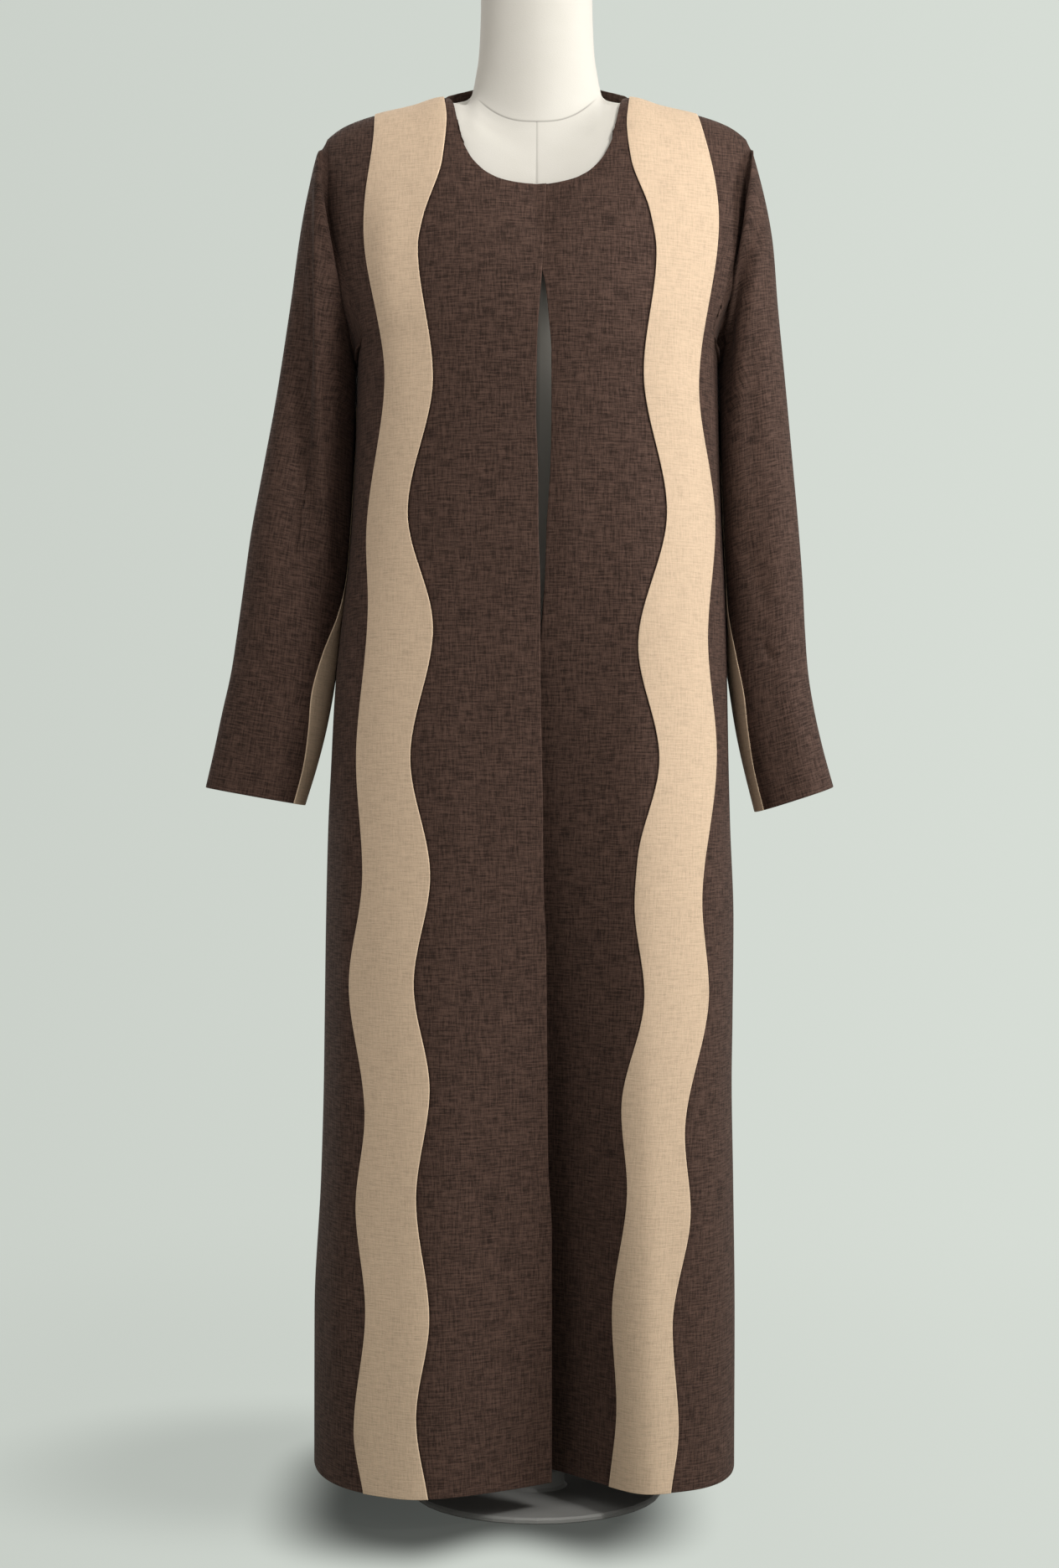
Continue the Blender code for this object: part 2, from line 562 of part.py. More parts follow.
def loft(name, rings, slot):
    """A solid through rings of points, closed by a flat face at each end."""
    around = len(rings[0])
    faces = faces_of(len(rings), around, True, False)
    faces.append(tuple(range(around)))
    faces.append(tuple(range((len(rings) - 1) * around, len(rings) * around))[::-1])
    mesh = bpy.data.meshes.new(name)
    mesh.from_pydata((np.concatenate(rings) * MM).tolist(), [], faces)
    for polygon in mesh.polygons:
        polygon.use_smooth = len(polygon.vertices) == 4
    return place(name, mesh, slot)


def cylinder(name, radius, low, high, around):
    """A round bar on the axis of the stand, from one height to another."""
    bpy.ops.mesh.primitive_cylinder_add(
        vertices=around, radius=radius * MM, depth=(high - low) * MM, location=(0, 0, (low + high) / 2 * MM)
    )
    obj = bpy.context.object
    obj.name = name
    for holder in obj.users_collection:
        holder.objects.unlink(obj)
    return obj


def socket_in(form):
    """Cuts the pole's socket up into the underside of the form."""
    cutter = cylinder("pole_socket_cutter", POLE_RADIUS + FIT, FORM_BOTTOM - 10, POLE_TOP + FIT, 32)
    cutter.hide_render = True
    cutter.display_type = "WIRE"
    cutters.objects.link(cutter)
    cut = form.modifiers.new("pole_socket", "BOOLEAN")
    cut.operation = "DIFFERENCE"
    cut.object = cutter


def turned_base():
    """The round base and its boss, with a blind hole for the pole, turned about the axis."""
    bore = POLE_RADIUS + FIT
    profile = (
        (0, BASE_THICK),
        (bore, BASE_THICK),
        (bore, BOSS_TOP),
        (BOSS_RADIUS - 2, BOSS_TOP),
        (BOSS_RADIUS, BOSS_TOP - 2),
        (BOSS_RADIUS, BASE_THICK + 3),
        (BOSS_RADIUS + 3, BASE_THICK),
        (BASE_RADIUS - 2, BASE_THICK),
        (BASE_RADIUS, BASE_THICK - 2),
        (BASE_RADIUS, 1),
        (BASE_RADIUS - 1, 0),
        (0, 0),
    )
    mesh = bpy.data.meshes.new("base")
    points = [(radius * MM, 0, level * MM) for radius, level in profile]
    mesh.from_pydata(points, [(k, k + 1) for k in range(len(points) - 1)], [])
    base = place("base", mesh, "stand_paint")
    screw = base.modifiers.new("turned", "SCREW")
    screw.steps = screw.render_steps = BASE_AROUND
    screw.use_merge_vertices = True
    screw.merge_threshold = 0.00001
    screw.use_smooth_shade = True
    return base


for old in list(bpy.data.objects):
    bpy.data.objects.remove(old, do_unlink=True)

collection = bpy.data.collections.new("abaya_on_dress_form")
bpy.context.scene.collection.children.link(collection)
cutters = bpy.data.collections.new("cutters")
bpy.context.scene.collection.children.link(cutters)
materials = {}
for slot_name, colour in COLOURS.items():
    material = bpy.data.materials.new(slot_name)
    material.use_nodes = True
    shader = material.node_tree.nodes["Principled BSDF"]
    shader.inputs["Base Color"].default_value = (*colour, 1.0)
    shader.inputs["Roughness"].default_value = 0.5 if slot_name == "stand_paint" else 0.85
    materials[slot_name] = material

# The cut pieces of the cloak
columns = (INNER_COLUMNS, BAND_COLUMNS, OUTER_COLUMNS)
shoulder = slice(INNER_COLUMNS, None)
side_rows = slice(len(YOKE_ROWS) - 1, None)
fronts = {}
for piece_name, side in (("right", -1), ("left", 1)):
    grid, span = front_piece(side, YOKE_ROWS, SKIRT_ROWS, columns)
    outward = level_seams(normals_of(grid, side), ((0, shoulder), (side_rows, -1)))
    cloth("front_" + piece_name, grid, outward, -CLOTH_WALL, 0, "dark_linen", flipped=side < 0)
    band = slice(span[0], span[1] + 1)
    cloth("front_band_" + piece_name, grid[:, band], outward[:, band], BAND_LIFT, BAND_LIFT + BAND_WALL,
          "beige_linen", flipped=side < 0)
    fronts[side] = grid

back = back_piece(YOKE_ROWS, BACK_SKIRT_ROWS, BACK_COLUMNS)
centre_back = sum(BACK_COLUMNS)
beside_neck = BACK_COLUMNS[1] + 1
back_seams = ((0, slice(0, beside_neck)), (0, slice(-beside_neck, None)), (side_rows, 0), (side_rows, -1))
outward = level_seams(normals_of(back, -1), back_seams)
cloth("back", back, outward, -CLOTH_WALL, 0, "dark_linen", flipped=True)

band = slice(BAND_FIRST, BAND_LAST + 1)
for piece_name, side, half, rings in (
    ("right", -1, back[:, centre_back::-1], RIGHT_SLEEVE),
    ("left", 1, back[:, centre_back:], LEFT_SLEEVE),
):
    first_ring = armhole_ring(fronts[side], half, len(YOKE_ROWS))
    sleeve = sleeve_piece(rings, first_ring, len(first_ring), side)
    outward = normals_of(sleeve, -side, closed=True)
    cloth("sleeve_" + piece_name, sleeve, outward, -CLOTH_WALL, 0, "dark_linen", closed=True, flipped=side > 0)
    lower = slice(SLEEVE_BAND_START, None)
    cloth("sleeve_band_" + piece_name, sleeve[lower, band], outward[lower, band], BAND_LIFT,
          BAND_LIFT + BAND_WALL, "beige_linen", flipped=side > 0)

# The dress form and its stand
socket_in(loft("dress_form", form_rings(), "form_cover"))
pole = cylinder("pole", POLE_RADIUS, BASE_THICK + FIT, POLE_TOP, 24)
pole.data.materials.append(materials["stand_paint"])
pole.data.shade_smooth()
pole.data.set_sharp_from_angle(angle=SHARP)
collection.objects.link(pole)
turned_base()
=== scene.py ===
# %% [markdown]
# # An open abaya on a dress form
# A long, straight cloak of dark slubbed linen. A wavy band of pale linen runs down each front from the
# shoulder seam to the hem, and another lies along the inside of each sleeve. The fronts meet at the neck,
# part a little over the bust and lap over each other below it. It hangs on a limbless form on a round
# stand.
#
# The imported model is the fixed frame: it says where every piece is, in metres. Each cloth piece is made
# again here from the same sizes, with many more points, so that it can carry soft creases, turned edges
# and seams.

# %% Load the frame
import bpy
import numpy as np
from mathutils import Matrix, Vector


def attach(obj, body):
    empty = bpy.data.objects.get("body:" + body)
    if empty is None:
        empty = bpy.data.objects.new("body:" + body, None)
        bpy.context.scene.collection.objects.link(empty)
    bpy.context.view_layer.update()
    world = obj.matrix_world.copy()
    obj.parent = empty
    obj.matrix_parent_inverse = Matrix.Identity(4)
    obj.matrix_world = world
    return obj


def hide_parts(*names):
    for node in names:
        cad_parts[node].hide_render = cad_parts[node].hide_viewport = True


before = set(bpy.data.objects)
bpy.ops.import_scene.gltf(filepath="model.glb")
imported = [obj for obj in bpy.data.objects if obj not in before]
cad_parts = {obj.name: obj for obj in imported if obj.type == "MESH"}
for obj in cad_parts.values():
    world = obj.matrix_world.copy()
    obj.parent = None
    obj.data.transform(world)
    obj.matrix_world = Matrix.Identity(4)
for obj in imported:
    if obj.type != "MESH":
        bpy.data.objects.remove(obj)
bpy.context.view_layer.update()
MM = 0.001

# %% [markdown]
# ## Camera
# A studio picture of a full-length garment is taken from some way back, with the camera level and at
# about half its height, so that the sides stay upright. 2.8 m and a lens of 61 mm on a 36 mm sensor do
# this. It could also be tilted from a stand, but then the long edges would lean together.

# %% Camera
def in_scene(name, data):
    """A new object that holds the data, linked into the scene."""
    made = bpy.data.objects.new(name, data)
    bpy.context.scene.collection.objects.link(made)
    return made


camera_data = bpy.data.cameras.new("camera")
camera_data.sensor_width = 36.0
camera_data.lens = 60.9
camera = in_scene("camera", camera_data)
camera.location = (-0.0075, -2.780, 0.740)
camera.rotation_euler = (np.pi / 2, 0.0, 0.0)
bpy.context.scene.camera = camera
print("camera at", [round(v, 3) for v in camera.location])

# %% [markdown]
# ## Sizes and tables
# A pattern cutter works from a few lengths and from curves drawn through a few marks. The same is done
# here: lengths have names, and each curve is a short table of the places where it turns. Sizes are in
# millimetres. The wearer's right is at -X, and the front faces -Y.

# %% Named lengths
CLOTH_WALL, BAND_WALL = 1.5, 1.0
BAND_LIFT = 0.4  # the gap between a band and the cloth under it
SEAM_GAP, REST_GAP = 0.5, 0.5  # between front and back at a seam, and between the cloak and the form
HEM, UNDERARM = 35.0, 1187.0
NECK_POINT, NECK_POINT_OUT = 1459.0, 97.0  # where the neckline meets the shoulder seam
FRONT_NECK = 1347.0
BAND_TOP = 1441.0  # where the outer edge of a front band meets the shoulder seam
BUST_LINE, BLADE_LINE = 1200.0, 1280.0  # below these the front and the back hang free
SHOULDER_MARKS = tuple(k / 12 for k in range(12)) + (0.96, 1.0)  # from the shoulder down to the underarm

# %% Body tables
BODY_COLUMNS = ("height", "right_half", "left_half", "right_depth", "left_depth", "side_line",
                "right_square", "left_square", "back_depth", "back_square")
BODY = (
    (1600, 238, 238, 150, 150, 5, 2.30, 2.30, 112, 2.40),
    (1417, 235, 235, 150, 150, 5, 2.30, 2.30, 112, 2.40),
    (1379, 231, 231, 150, 150, 5, 2.30, 2.30, 112, 2.40),
    (1324, 225, 225, 150, 150, 6, 2.30, 2.30, 112, 2.40),
    (1280, 214.5, 214.5, 150, 150, 6, 2.40, 2.40, 112, 2.45),
    (1240, 203, 203, 150, 150, 7, 2.55, 2.55, 112.5, 2.55),
    (1207, 191.5, 191.5, 150, 150, 8, 2.75, 2.75, 113, 2.65),
    (1187, 186.5, 187.5, 150.3, 150.2, 8, 2.80, 2.80, 113.5, 2.70),
    (1100, 188.5, 190, 152, 151, 10, 2.80, 2.80, 116, 2.75),
    (1000, 193.5, 193.5, 154, 152, 12, 2.80, 2.85, 119, 2.80),
    (950, 198, 196, 155, 152.4, 13.5, 2.80, 2.87, 120.5, 2.80),
    (900, 204, 197.5, 156, 152.8, 15, 2.80, 2.90, 122, 2.85),
    (840, 210.5, 199, 157.3, 153.2, 17, 2.80, 2.92, 124, 2.85),
    (758, 215, 200.5, 160, 153.8, 19, 2.80, 2.95, 126.5, 2.90),
    (698, 218, 202, 161.5, 154, 21, 2.80, 3.00, 128, 2.90),
    (600, 220.5, 205.5, 165, 154.6, 24, 2.80, 3.10, 132, 2.95),
    (500, 222, 204.5, 169, 155, 27, 2.80, 3.20, 136, 3.00),
    (430, 223, 203.5, 172, 155.5, 29, 2.80, 3.30, 139.5, 3.05),
    (330, 226, 205, 176, 156, 32, 2.80, 3.40, 144, 3.10),
    (193, 233, 206.5, 181, 157, 36, 2.80, 3.50, 150, 3.15),
    (35, 233.5, 206, 186, 158, 40, 2.80, 3.60, 156, 3.20),
)
# The ridge of the shoulders: distance out from the centre, height
FRONT_RIDGE = ((0, 1422), (50, 1447), (97, 1459), (130, 1450), (169, 1441), (200, 1430), (219, 1417),
               (240, 1392))
BACK_RIDGE = ((0, 1579), (35, 1558), (63, 1512), (97, 1459), (130, 1450), (169, 1441), (200, 1430),
              (219, 1417), (240, 1392))
# Neckline: share of its half length, distance out, height
FRONT_NECKLINE = ((0, 0, 1347), (0.10, 14, 1347.6), (0.17, 25, 1349), (0.29, 43, 1354.5),
                  (0.40, 58, 1365.5), (0.52, 70.3, 1383), (0.66, 78.4, 1405), (0.79, 82.6, 1427),
                  (0.90, 86.4, 1446), (1, 97, 1459))
BACK_NECKLINE = ((0, 0, 1487), (0.35, 38, 1486.5), (0.62, 63, 1481), (0.83, 80, 1472), (1, 97, 1459))
# How far the middle of each front falls back behind its fold: height, right front, left front
CENTRE_FALL = ((1600, 0, 2.8), (1345, 0, 2.8), (1240, 0.5, 2.8), (1150, 1, 2.5), (1000, 3, 5), (900, 7, 11.5),
               (750, 17, 28), (600, 29, 48), (450, 43, 68), (300, 57, 86), (150, 71, 99), (35, 84, 108))
# The opening edges: height, x of the edge
RIGHT_EDGE = ((1347, 9.4), (1265, 5.9), (1229, 3.3), (1177, 0), (1102, -0.9), (1061, 0.8), (988, 1.6),
              (928, 3.3), (855, 3.4), (720, 5.8), (634, 6.7), (576, 9.2), (504, 10.1), (350, 11.8),
              (292, 15.2), (35, 15.4))
LEFT_EDGE = ((1347, 6.6), (1300, 5.2), (1265, 4.2), (1253, 4.8), (1242, 7.5), (1222, 10), (1203, 11.6),
             (1169, 14.1), (1110, 14.1), (1061, 13.3), (989, 9.1), (957, 8.3), (916, 5.8), (880, 3),
             (800, -3), (600, -10), (400, -17), (200, -23), (35, -28))

# %% Wave tables
# The waves of the bands: each row is a turning of the edge, height and distance out from the centre
RIGHT_BAND_INNER = ((1459, 97), (1422, 92.6), (1374, 95.8), (1308, 114.8), (1280, 119.2), (1145, 103.4),
                    (1011, 128.7), (895, 103.2), (766, 125.7), (649, 105.9), (541, 122.1), (438, 106.2),
                    (330, 119.4), (212, 106.5), (114, 119.2), (35, 107.6))
RIGHT_BAND_OUTER = ((1441, 169), (1415, 168), (1306, 177), (1153, 152.5), (985, 172), (922, 169.6),
                    (765, 180.7), (650, 174.3), (538, 186.6), (408, 171.6), (317, 180.3), (215, 170.7),
                    (94, 182.3), (35, 172.5))
LEFT_BAND_INNER = ((1459, 97), (1414, 92), (1374, 95.3), (1315, 113.8), (1275, 119.4), (1150, 105.9),
                   (1012, 129.3), (878, 100.3), (765, 121.4), (666, 99.9), (620, 97), (530, 106.5),
                   (415, 85.2), (336, 91), (208, 76.4), (118, 81), (35, 73))
LEFT_BAND_OUTER = ((1441, 167), (1318, 185), (1141, 162.6), (1005, 180.8), (887, 171.9), (773, 181.1),
                   (621, 164.5), (531, 171), (390, 147.1), (313, 153), (199, 134.9), (97, 141.3), (35, 133))
# Armhole edge: share down from the shoulder, height, front share of the half width, back share
ARMHOLE = ((0, 1417, 0.932, 0.932), (0.35, 1379, 0.9385, 0.944), (0.6, 1324, 0.952, 0.955),
           (0.75, 1280, 0.951, 0.955), (0.85, 1240, 0.941, 0.95), (0.92, 1210, 0.939, 0.949),
           (0.96, 1196, 0.957, 0.962), (1, 1187, 1, 1))

# %% Sleeve tables
# A row for each ring: outer edge x and height, inner edge x and height, front y, back y, and how square the
# corner at the inner front is
RIGHT_SLEEVE = (
    (-229.6, 1398, -188, 1176, -60, 60, 1.8), (-238.3, 1362, -186, 1158, -63, 62, 1.6),
    (-247, 1318, -187, 1136, -65, 63, 1.6), (-258, 1240, -187, 1104, -64, 62, 1.5),
    (-272.5, 1143, -188, 1060, -62, 59, 1.5), (-286, 1070, -190, 1008, -59, 56, 1.5),
    (-299, 1000, -196, 955, -56, 52, 1.5), (-306, 950, -202, 915, -53, 49, 1.6),
    (-313, 900, -209, 870, -50, 45, 1.7), (-320, 855, -215.5, 830, -47, 42, 1.8),
    (-329, 815, -222.5, 793, -44, 38, 1.9), (-337.5, 775, -232, 756, -41, 34, 2.0),
    (-346.4, 736.5, -243.7, 718, -38, 30, 2.2),
)
LEFT_SLEEVE = (
    (226, 1399, 188, 1176, -60, 60, 2.4), (236.8, 1358, 187.5, 1158, -64, 62, 2.4),
    (245.4, 1314, 188, 1136, -66, 64, 3.0), (252, 1238, 188.5, 1104, -66, 64, 3.4),
    (260.5, 1150, 189, 1060, -65, 62, 3.6), (267.5, 1075, 191, 1008, -63, 60, 3.6),
    (274.3, 1000, 194, 955, -61, 58, 3.4), (278, 950, 197, 915, -59, 55, 3.2),
    (280.5, 900, 200, 870, -57, 52, 3.0), (284, 855, 205, 830, -54, 48, 2.8),
    (290, 818, 210.5, 793, -52, 44, 2.6), (299, 778, 218.5, 755, -50, 40, 2.6),
    (310.3, 737, 229.5, 711, -48, 37, 2.6),
)
SLEEVE_STEP = 6.0  # how far the sleeve stands out just below the front and the back of the armhole
SLEEVE_CLEAR = (0.8, 2.4)  # how near the sleeve lies to the body, beside its band and at its band
# The sleeve bands, from the ring below the armhole to the cuff: the angle of the front and the back edge,
# with 0 at the outer edge of the sleeve, 90 at its front and 180 at its inner edge
SLEEVE_BAND = ((168, 233), (171, 235), (177, 233), (182, 229), (176, 233), (168, 240), (168, 238),
               (156, 229), (140, 230), (133, 238), (137, 235), (142, 227), (143, 231))
MARKS_ROUND = 26  # marks round a sleeve: the shoulder is 0, the underarm 13
BAND_FIRST, BAND_LAST = 13, 18  # the marks between which the sleeve's band lies
SLEEVE_BAND_START = 4  # the ring at which the band's upper end is tucked in under the arm

# %% [markdown]
# ## Smooth curves
# A cutter joins the marks with a French curve. `through` does the same: it passes through every mark, and
# where the marks turn it is flat there, so a wave has its crest exactly where the table puts it. A spline
# would also be smooth, but it swings past the marks.

# %% Curves through marks
def between(t, wide, first, last, first_slope, last_slope):
    """The curve from one value to the next that leaves and arrives with the given slopes."""
    return ((2 * t**3 - 3 * t**2 + 1) * first + (t**3 - 2 * t**2 + t) * wide * first_slope
            + (3 * t**2 - 2 * t**3) * last + (t**3 - t**2) * wide * last_slope)


def through(rows, column, at):
    """A smooth curve through one column of a table, over its first column."""
    table = np.asarray(rows, float)
    table = table[np.argsort(table[:, 0])]
    knot, value = table[:, 0], table[:, column]
    step = np.diff(knot)
    rate = np.diff(value) / step
    slope = np.zeros_like(value)
    before, after = rate[:-1], rate[1:]
    same = before * after > 0
    first = (2 * step[1:] + step[:-1])[same]
    second = (step[1:] + 2 * step[:-1])[same]
    slope[1:-1][same] = (first + second) / (first / before[same] + second / after[same])
    slope[0], slope[-1] = rate[0], rate[-1]
    at = np.clip(np.asarray(at, float), knot[0], knot[-1])
    i = np.clip(np.searchsorted(knot, at, side="right") - 1, 0, len(knot) - 2)
    t = (at - knot[i]) / step[i]
    return between(t, step[i], value[i], value[i + 1], slope[i], slope[i + 1])


def flow(rings, at, places=None):
    """A smooth surface through rings of points, at fractional ring numbers or at places along their way."""
    rings = np.asarray(rings, float)
    places = np.arange(len(rings), dtype=float) if places is None else places
    slope = np.gradient(rings, places, axis=0)
    at = np.clip(np.asarray(at, float), places[0], places[-1])
    i = np.clip(np.searchsorted(places, at, side="right") - 1, 0, len(rings) - 2)
    shape = (-1, *[1] * (rings.ndim - 1))
    wide = (places[i + 1] - places[i]).reshape(shape)
    t = (at - places[i]).reshape(shape) / wide
    return between(t, wide, rings[i], rings[i + 1], slope[i], slope[i + 1])


def mix(a, b, share):
    return a + (b - a) * share


def unit(vector):
    return vector / np.maximum(np.linalg.norm(vector, axis=-1, keepdims=True), 1e-9)


def ease(t):
    """From 0 to 1 with a soft start and a soft end."""
    t = np.clip(t, 0, 1)
    return t * t * (3 - 2 * t)


# %% [markdown]
# ## The shape of the body
# The cloak lies on the shoulders and hangs free from the bust and the shoulder blades. Every level is a
# rounded box: wide and flat in front and behind, and turning quickly at the sides, as hung linen does.
# Above the bust the section shrinks towards the shoulder seam. Below it the middle of each front falls
# back behind a fold, which is why the opening edges hang deeper than the bands.

# %% Body surfaces
FALL_END, FALL_START = 1.6, 0.56  # how softly the slope of the shoulders ends, and how roundly it starts
RIGHT_FOLD, LEFT_FOLD = -135, 104  # where the fold stands from which each front falls back


def body(name, height):
    return through(BODY, BODY_COLUMNS.index(name), height)


def shoulder_fall(drop):
    """Share of the full depth reached at a share of the way down from the shoulder ridge."""
    drop = np.clip(drop, 0, 1)
    return (1 - (1 - drop) ** FALL_END) ** FALL_START


def hinge(t, softness):
    """Nought below nought and t above it, with a soft bend between."""
    return 0.5 * (t + np.sqrt(t * t + softness * softness))


def half_width(x, height):
    return np.where(x < 0, body("right_half", height), body("left_half", height))


def share_out(x, height):
    """How far out a place lies, from 0 at the centre to 1 at the side."""
    return np.clip(np.abs(x) / half_width(x, height), 0, 1)


def rounded_box(share, square):
    """Depth of a rounded box at a share of its half width, from 1 in the middle to 0 at the side."""
    return np.clip(1 - share**square, 0, 1) ** (1 / square)


def front_y(x, height, side):
    """The outer surface of a front, side -1 for the wearer's right and +1 for the left."""
    square = np.where(x < 0, body("right_square", height), body("left_square", height))
    depth = body("right_depth" if side < 0 else "left_depth", height)
    line = body("side_line", height)
    across = rounded_box(share_out(x, height), square)
    ridge = through(FRONT_RIDGE, 1, np.abs(x))
    y = line - (depth + line) * across * shoulder_fall((ridge - height) / (ridge - BUST_LINE))
    if side < 0:
        fold = np.minimum(hinge((x - RIGHT_FOLD) / 150 - 0.02, 0.12) ** 1.25, 1.3)
        return y + through(CENTRE_FALL, 1, height) * fold
    fold = 1.12 - hinge(1.12 - hinge((LEFT_FOLD - x) / 88, 0.16), 0.12)
    edge_only = np.exp(-(((x - 8) / 14) ** 2))  # from the waist up only its very edge falls back
    return y + through(CENTRE_FALL, 2, height) * mix(fold, edge_only, ease((height - 900) / 150))


def back_y(x, height):
    """The outer surface of the back."""
    line = body("side_line", height)
    across = rounded_box(share_out(x, height), body("back_square", height))
    ridge = through(BACK_RIDGE, 1, np.abs(x))
    fall = shoulder_fall((ridge - height) / (ridge - BLADE_LINE))
    return line + (body("back_depth", height) - line) * across * fall


# %% [markdown]
# ## Grids for the panels
# Each cut piece is a grid of points: rows run down it, and columns run from the opening edge, or from the
# centre back, to the side. Two of the columns are the edges of the band, so the band can be taken from
# the very same points. Extra lines lie close to every edge, where the cloth turns over, and few are
# needed between.

# %% How the lines are spaced
SKIRT_LINES = 150
EDGE_LINES = (0, 0.4, 1.0, 2.0, 4.0)  # distances of the extra lines from an edge


def spaced(count, width, start=EDGE_LINES, end=EDGE_LINES):
    """Shares from 0 to 1 of a strip about this wide, with extra lines beside its edges."""
    first = [d / width for d in start]
    last = [1 - d / width for d in end][::-1]
    return np.array(first + list(np.linspace(first[-1], last[0], count + 1)[1:-1]) + last)


shoulder_index = np.linspace(0, 13, 66)
yoke = through(list(enumerate(SHOULDER_MARKS)), 1, shoulder_index)
yoke_down = yoke**1.8  # the rows of the yoke, closer together near the shoulder seam
skirt = mix(UNDERARM, HEM, spaced(SKIRT_LINES, UNDERARM - HEM, start=(0,))[1:])
down = np.concatenate([yoke_down, np.ones(len(skirt))])
YOKE_LINES = len(yoke)
print("rows down a panel:", len(down))


def heights_from(top):
    return np.concatenate([mix(top, UNDERARM, yoke_down), skirt])


def turn_at(x, height, square):
    """The angle round a level at which a place across lies."""
    return np.arcsin(share_out(x, height) ** (square / 2))


def wrap_block(first_x, first_height, side, shares, back):
    """Columns from a first line round to the armhole and the side seam."""
    edge_height = np.concatenate([through(ARMHOLE, 1, yoke), skirt])
    edge_share = np.concatenate([through(ARMHOLE, 3 if back else 2, yoke), np.ones(len(skirt))])
    square_name = "back_square" if back else ("right_square" if side < 0 else "left_square")
    first_turn = turn_at(side * np.abs(first_x), first_height, body(square_name, first_height))
    edge_turn = np.arcsin(np.clip(edge_share, 0, 1) ** (body(square_name, edge_height) / 2))
    x = np.zeros((len(down), len(shares)))
    height = np.zeros_like(x)
    for k, share in enumerate(shares):
        turn = mix(first_turn, edge_turn, share)
        high = mix(first_height, edge_height, share)

        def out_at(level):
            wide = half_width(np.full_like(level, side), level)
            return wide * np.sin(turn) ** (2 / body(square_name, level))

        ridge = through(FRONT_RIDGE, 1, out_at(high)[0])
        high = high + (1 - down) * (ridge - high[0])
        x[:, k] = side * out_at(high)
        height[:, k] = high
    x[:, 0], height[:, 0] = first_x, first_height
    return x, height


# %% Grid of a front
INNER_WIDTH, BAND_WIDTH, OUTER_WIDTH = 108.0, 64.0, 150.0  # about how wide the strips of a front are
INNER_LINES = spaced(44, INNER_WIDTH)
BAND_LINES = spaced(14, BAND_WIDTH)
OUTER_LINES = spaced(24, OUTER_WIDTH)


def front_piece(side):
    """Grid of one front from the opening edge to the side, and the columns between which the band lies."""
    band_in = RIGHT_BAND_INNER if side < 0 else LEFT_BAND_INNER
    band_out = RIGHT_BAND_OUTER if side < 0 else LEFT_BAND_OUTER
    high_edge, high_in, high_out = (heights_from(top) for top in (FRONT_NECK, NECK_POINT, BAND_TOP))
    x_edge = through(RIGHT_EDGE if side < 0 else LEFT_EDGE, 1, high_edge)
    x_in = side * through(band_in, 1, high_in)
    x_out = side * through(band_out, 1, high_out)
    neckline = np.array(FRONT_NECKLINE, float)
    across, heights = [], []
    for share in INNER_LINES:
        top_x = side * flow(neckline[:, 1], [share], neckline[:, 0])[0] + x_edge[0] * (1 - share) ** 3
        top_height = flow(neckline[:, 2], [abs(top_x)], neckline[:, 1])[0]
        lean = mix(x_edge, x_in, share)
        across.append(lean + (1 - down) ** 2 * (top_x - lean[0]))
        heights.append(heights_from(top_height))
    for share in BAND_LINES[1:]:
        across.append(mix(x_in, x_out, share))
        heights.append(heights_from(through(FRONT_RIDGE, 1, abs(across[-1][0]))))
    x, height = wrap_block(x_out, high_out, side, OUTER_LINES, False)
    x = np.concatenate([np.array(across).T, x[:, 1:]], axis=1)
    height = np.concatenate([np.array(heights).T, height[:, 1:]], axis=1)
    first = len(INNER_LINES) - 1
    band = (first, first + len(BAND_LINES) - 1)
    return np.dstack([x, front_y(x, height, side) - SEAM_GAP / 2, height]), band


# %% Grid of the back
NECK_LINES = spaced(18, 100.0, start=(0,))
BACK_OUTER_LINES = spaced(32, 160.0, start=(0,))


def back_piece():
    """Grid of the back, columns from the right side to the left side, through the centre back."""
    halves = []
    for side in (-1, 1):
        line_height = heights_from(NECK_POINT)
        line_down = np.clip((NECK_POINT - line_height) / (NECK_POINT - HEM), 0, 1)
        line_x = mix(NECK_POINT_OUT, INNER_WIDTH, line_down)
        across, heights = [], []
        for share in NECK_LINES[:-1]:
            heights.append(heights_from(through(BACK_NECKLINE, 2, share)))
            top_x = through(BACK_NECKLINE, 1, share)
            across.append(side * (line_x * share + (1 - down) ** 2 * (top_x - line_x[0] * share)))
        x, height = wrap_block(side * line_x, line_height, side, BACK_OUTER_LINES, True)
        x = np.concatenate([np.array(across).T, x], axis=1)
        height = np.concatenate([np.array(heights).T, height], axis=1)
        halves.append(np.dstack([x, back_y(x, height) + SEAM_GAP / 2, height]))
    return np.concatenate([halves[0][:, :0:-1], halves[1]], axis=1)

# %% [markdown]
# ## Grids for the sleeves
# A set-in sleeve starts at the armhole. Its first ring is the edge of the armhole itself, moved out by
# the width of the seam, so the two cannot drift apart. From there a few rings lead down to the cuff, and
# the cloth flows through them. Where the sleeve hangs beside the body, it is kept just clear of it.
# The raw edge is tucked in under the yoke, as a seam allowance is, and a few rows lie close below the
# seam, so that only a thin line of it is dark.

# %% Marks round a sleeve
EDGE_MARKS = (-0.1, -0.03, 0.03, 0.1)  # extra lines beside the edges of the sleeve's band
even_marks = np.linspace(0, MARKS_ROUND, 131)[:-1]
band_marks = [np.array(EDGE_MARKS) + edge for edge in (BAND_FIRST, BAND_LAST)]
marks = np.unique(np.round(np.concatenate([even_marks] + band_marks), 4))
print("marks round a sleeve:", len(marks))

# %% Edge of the armhole
ARMHOLE_GAP = 0.1  # the seam that sets the sleeve in is drawn tight
TUCK_IN, TUCK_UNDER = 1.8, 0.3  # how far the raw edge reaches in under the yoke, and its gap from it


